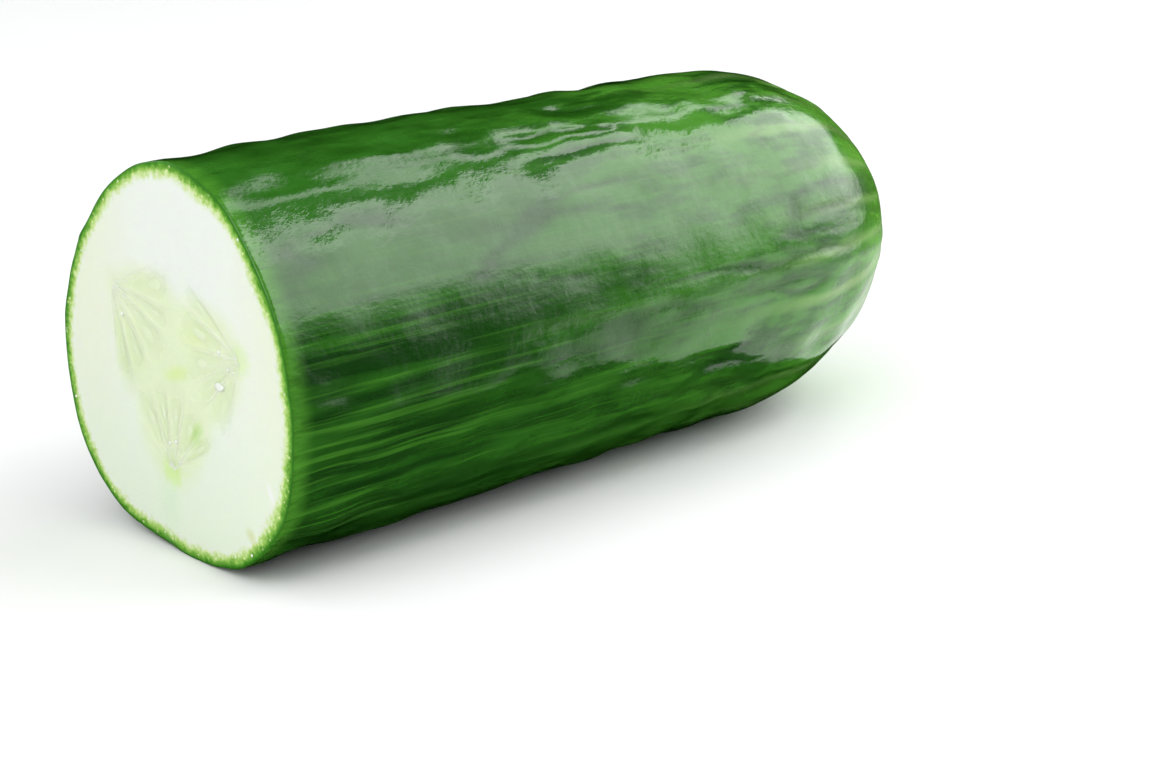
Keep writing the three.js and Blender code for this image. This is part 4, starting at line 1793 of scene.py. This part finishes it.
@dataclass(frozen=True)
class CorkFinish:
    """Dry corky tissue, with dark cracks."""

    dry: Colour = (0.420, 0.310, 0.170)
    brown: Colour = (0.200, 0.120, 0.055)
    crack: Colour = (0.045, 0.028, 0.014)
    patch_size: float = 0.8
    patch_height: float = 0.12
    cell_size: float = 0.35
    crack_width: float = 0.12
    crack_depth: float = 0.1
    roughness: Span = (0.8, 0.95)

    def build(self) -> bpy.types.Material:
        """Makes the scar's material."""
        finish = Finish("Dry cork", {"IOR": 1.45, "Specular IOR Level": 0.3})
        bench, place = finish.bench, finish.place()
        patches = finish.mottle(bench.stretched(place, self.patch_size))
        cells = bench.get("ShaderNodeTexVoronoi", {
            "Vector": bench.stretched(place, self.cell_size), "Scale": 1.0}, feature="DISTANCE_TO_EDGE")
        crack = cells.step(self.crack_width, 0.0)
        colour = bench.mix(crack, bench.mix(patches, self.brown, self.dry), self.crack)
        return finish.done({
            "Base Color": colour,
            "Roughness": patches.blend(*self.roughness),
            "Normal": finish.relief(patches * self.patch_height - crack * self.crack_depth),
        })


@dataclass(frozen=True)
class JuiceFinish:
    """Juice in beads so small and shallow that they take the colour of the flesh under them, partly
    whitened as a painted highlight.
    """

    # paler than the flesh: a painted highlight that makes the beads read as white glints
    clear: Colour = (0.92, 0.94, 0.92)
    cloudy: Colour = (0.86, 0.91, 0.80)
    haze_size: float = 0.6
    haze_height: float = 0.02
    roughness: Span = (0.05, 0.15)

    def build(self) -> bpy.types.Material:
        """Makes the juice's material."""
        finish = Finish("Clear juice", {"IOR": 1.34, "Coat Weight": 1.0, "Coat Roughness": 0.03})
        bench, place = finish.bench, finish.place()
        haze = bench.noise(bench.stretched(place, self.haze_size))
        return finish.done({
            "Base Color": bench.mix(haze, self.clear, self.cloudy),
            "Roughness": haze.blend(*self.roughness),
            "Normal": finish.relief(haze * self.haze_height),
        })


# ---------------------------------------------------------------------------------------------------
# Studio
# ---------------------------------------------------------------------------------------------------


class Sides(NamedTuple):
    """A number for each side of a lamp, as seen from behind it."""

    left: float = 0.0
    right: float = 0.0
    foot: float = 0.0
    head: float = 0.0


def turn_of(back: Vector, roll: float = 0.0) -> Quaternion:
    """How a lamp is turned whose back points in a direction, and whose level side is rolled by an angle."""
    return back.to_track_quat("Z", "Y") @ Quaternion((0.0, 0.0, 1.0), roll)


@dataclass
class Softbox:
    """A large soft lamp. Its place and size are in metres."""

    name: str
    place: Triple
    turn: Quaternion
    width: float
    height: float
    radiance: float
    fades: Sides = Sides()  # shares of its size over which its light fades towards its sides

    def soften(self, lamp: bpy.types.AreaLight) -> None:
        """Lets the lamp's light fade towards its sides.

        Args:
            lamp: The lamp's own data, whose nodes this sets.
        """
        lamp.use_nodes = True
        bench = Bench(lamp.node_tree)
        across, up, _ = bench.split(bench.get("ShaderNodeNewGeometry", output="Parametric"))
        light = across * 0.0 + 1.0
        for reach, low, high in ((across, *self.fades[:2]), (up, *self.fades[2:])):
            if low:
                light = light * reach.step(0.0, low)
            if high:
                light = light * reach.step(1.0, 1.0 - high)
        emission = next(node for node in lamp.node_tree.nodes if node.type == "EMISSION")
        plug(lamp.node_tree, emission.inputs["Strength"], light)

    def build(self) -> bpy.types.Object:
        """Makes the lamp."""
        lamp = bpy.data.lights.new(self.name, "AREA")
        lamp.shape = "RECTANGLE"
        lamp.size, lamp.size_y = self.width, self.height
        lamp.energy = self.radiance * math.pi * self.width * self.height
        if any(self.fades):
            self.soften(lamp)
        made = bpy.data.objects.new(self.name, lamp)
        bpy.context.collection.objects.link(made)
        made.location = self.place
        made.rotation_euler = self.turn.to_euler()
        made.visible_camera = False
        return made


@dataclass(frozen=True)
class LampWall:
    """A wall of soft lamps, one close behind the other, which the waxy skin mirrors as its sheen."""

    middle: Triple = (0.3553, -0.2708, 0.4075)  # metres
    bearing: float = math.radians(-35.97)  # of the wall's back, from +X towards +Y
    rise: float = math.radians(39.87)  # of its back, above level
    roll: float = math.radians(-17.4)
    gap: float = 0.001  # from one lamp to the next: at the same distance, one would hide the other

    def lamp(self, name: str, layer: int, edges: Sides, radiance: float, fades: Sides) -> Softbox:
        """Makes a lamp that stands in the wall.

        Args:
            name: The lamp's name.
            layer: How many lamps stand in front of it.
            edges: How far its sides are from the wall's middle, to the right and up, in metres.
            radiance: How bright it is.
            fades: How its light fades towards its sides.

        Returns:
            The lamp.
        """
        level = math.cos(self.rise)
        back = Vector((level * math.cos(self.bearing), level * math.sin(self.bearing), math.sin(self.rise)))
        turn = turn_of(back, self.roll)
        centre = Vector((
            (edges.left + edges.right) / 2, (edges.foot + edges.head) / 2, layer * self.gap))
        place = tuple(Vector(self.middle) + turn @ centre)
        width, height = edges.right - edges.left, edges.head - edges.foot
        return Softbox(name, place, turn, width, height, radiance, fades)


WALL = LampWall()


@dataclass
class Studio:
    """The pale floor, the soft lamps and the dim room."""

    floor_size: float = 0.86
    floor_colour: Colour = (0.93, 0.935, 0.93)
    floor_shade: float = 0.985  # how much darker its patches are
    floor_patch: float = 40.0
    floor_roughness: Span = (0.75, 0.85)
    room_colour: Colour = (0.95, 0.98, 1.0)
    room: float = 0.25  # how brightly the room lights things
    backdrop: float = 1.1  # how bright the room looks behind the floor
    overhead: float = 1.0
    overhead_spread: float = math.radians(100)
    lamps: tuple[Softbox, ...] = (
        WALL.lamp("key", 0, Sides(-0.30, 0.72, -0.33, 0.175), 2.60, Sides(right=0.15, foot=0.30)),
        WALL.lamp("edge", 1, Sides(-0.30, 0.16, 0.06, 0.178), 1.30, Sides(right=0.5, foot=0.5)),
        WALL.lamp("foot", 2, Sides(-0.24, 0.72, -0.56, -0.18), 2.55, Sides(0.36, 0.15, 0.70, 0.42)),
        WALL.lamp("top", 3, Sides(-0.05, 0.75, 0.285, 0.48), 2.10, Sides(0.10, 0.45, 0.10, 0.55)),
        Softbox("bounce", (0.257, -0.228, 0.002), turn_of(Vector((0.0, 0.0, -1.0)), math.radians(139)),
                0.21, 0.60, 1.0, Sides(0.30, 0.55, 0.0, 0.20)),
        Softbox("fill", (-0.44, -0.11, 0.32), turn_of(Vector((-0.44, -0.11, 0.297))),
                0.60, 0.55, 2.2, Sides(0.2, 0.2, 0.2, 0.2)),
        Softbox("rim", (-0.19, 0.44, 0.29), turn_of(Vector((-0.19, 0.44, 0.267))),
                0.60, 0.44, 1.55, Sides(0.40, 0.40, 0.45, 0.45)),
    )

    def floor(self) -> bpy.types.Object:
        """Makes the floor, with a faint grain."""
        half = self.floor_size / 2
        corners = [(-half, -half, 0.0), (half, -half, 0.0), (half, half, 0.0), (-half, half, 0.0)]
        mesh = bpy.data.meshes.new("floor")
        mesh.from_pydata(corners, [], [(0, 1, 2, 3)])
        made = bpy.data.objects.new("floor", mesh)
        bpy.context.collection.objects.link(made)
        finish = Finish("Pale floor", {"Specular IOR Level": 0.1})
        place = finish.place()
        patches = finish.mottle(finish.bench.stretched(place, self.floor_patch))
        shade = tuple(self.floor_shade * part for part in self.floor_colour)
        mesh.materials.append(finish.done({
            "Base Color": finish.bench.mix(patches, self.floor_colour, shade),
            "Roughness": patches.blend(*self.floor_roughness),
        }))
        return made

    def sky(self) -> None:
        """Lights everything evenly from overhead, without a reflection of its own."""
        lamp = bpy.data.lights.new("overhead", "SUN")
        lamp.energy, lamp.angle = self.overhead, self.overhead_spread
        made = bpy.data.objects.new("overhead", lamp)
        bpy.context.collection.objects.link(made)
        made.location = (0.0, 0.0, 1.0)
        made.visible_glossy = False

    def build(self) -> None:
        """Sets the scene up round the cucumber."""
        floor = self.floor()
        floor.visible_glossy = False
        world = bpy.data.worlds.new("room")
        world.use_nodes = True
        bench = Bench(world.node_tree)
        seen = bench.get("ShaderNodeLightPath", output="Is Camera Ray")
        background = world.node_tree.nodes["Background"]
        plug(world.node_tree, background.inputs["Color"], self.room_colour)
        plug(world.node_tree, background.inputs["Strength"], seen.blend(self.room, self.backdrop))
        bpy.context.scene.world = world
        world.cycles_visibility.glossy = False
        for lamp in self.lamps:
            lamp.build()
        self.sky()
        settings = bpy.context.scene.view_settings
        settings.view_transform = "Standard"
        settings.look = "None"


@dataclass
class Viewpoint:
    """Where the camera stands, in millimetres, and how it looks."""

    place: Triple = (-223.25, -252.984, 118.65)
    turn: float = math.radians(42.202)  # from +Y towards +X
    down: float = math.radians(18.038)
    lens: float = 84.159
    sensor: float = 36.0
    clip: Span = (0.01, 20.0)  # metres

    def build(self) -> None:
        """Makes the camera and gives it to the scene."""
        data = bpy.data.cameras.new("camera")
        data.lens, data.sensor_width = self.lens, self.sensor
        data.clip_start, data.clip_end = self.clip
        made = bpy.data.objects.new("camera", data)
        bpy.context.collection.objects.link(made)
        made.location = [number * METRES for number in self.place]
        made.rotation_euler = (TAU / 4 - self.down, 0.0, -self.turn)
        bpy.context.scene.camera = made


def seat(piece: bpy.types.Object, tissue: Optional[Tissue]) -> None:
    """Joins a piece to the cucumber: it rides on the body and stands for the solid.

    Args:
        piece: The piece.
        tissue: The tissue of its finish, or None for a piece without one. It is not used.
    """
    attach(piece, BODY_NAME)
    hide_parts(NODE_NAME)
    log.info("%s: %d faces", piece.name, len(piece.data.polygons))


def main() -> None:
    """Builds the cucumber, the studio and the camera."""
    logging.basicConfig(level=logging.INFO, format="%(name)s: %(message)s")
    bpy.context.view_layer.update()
    Viewpoint().build()
    Studio().build()
    skin = SkinFinish().build()
    flesh = FleshFinish().build(PLAN)
    body = Body()
    seat(body.build(skin, flesh), Tissue.SKIN)
    seat(Seeds().build(SEED_FINISH.build()), Tissue.SEED)
    seat(Threads().build(THREAD_FINISH.build()), Tissue.FLESH)
    seat(Juice().build(body, JuiceFinish().build()), None)
    seat(BlossomScar().build(CorkFinish().build()), None)


if __name__ == "__main__":
    main()
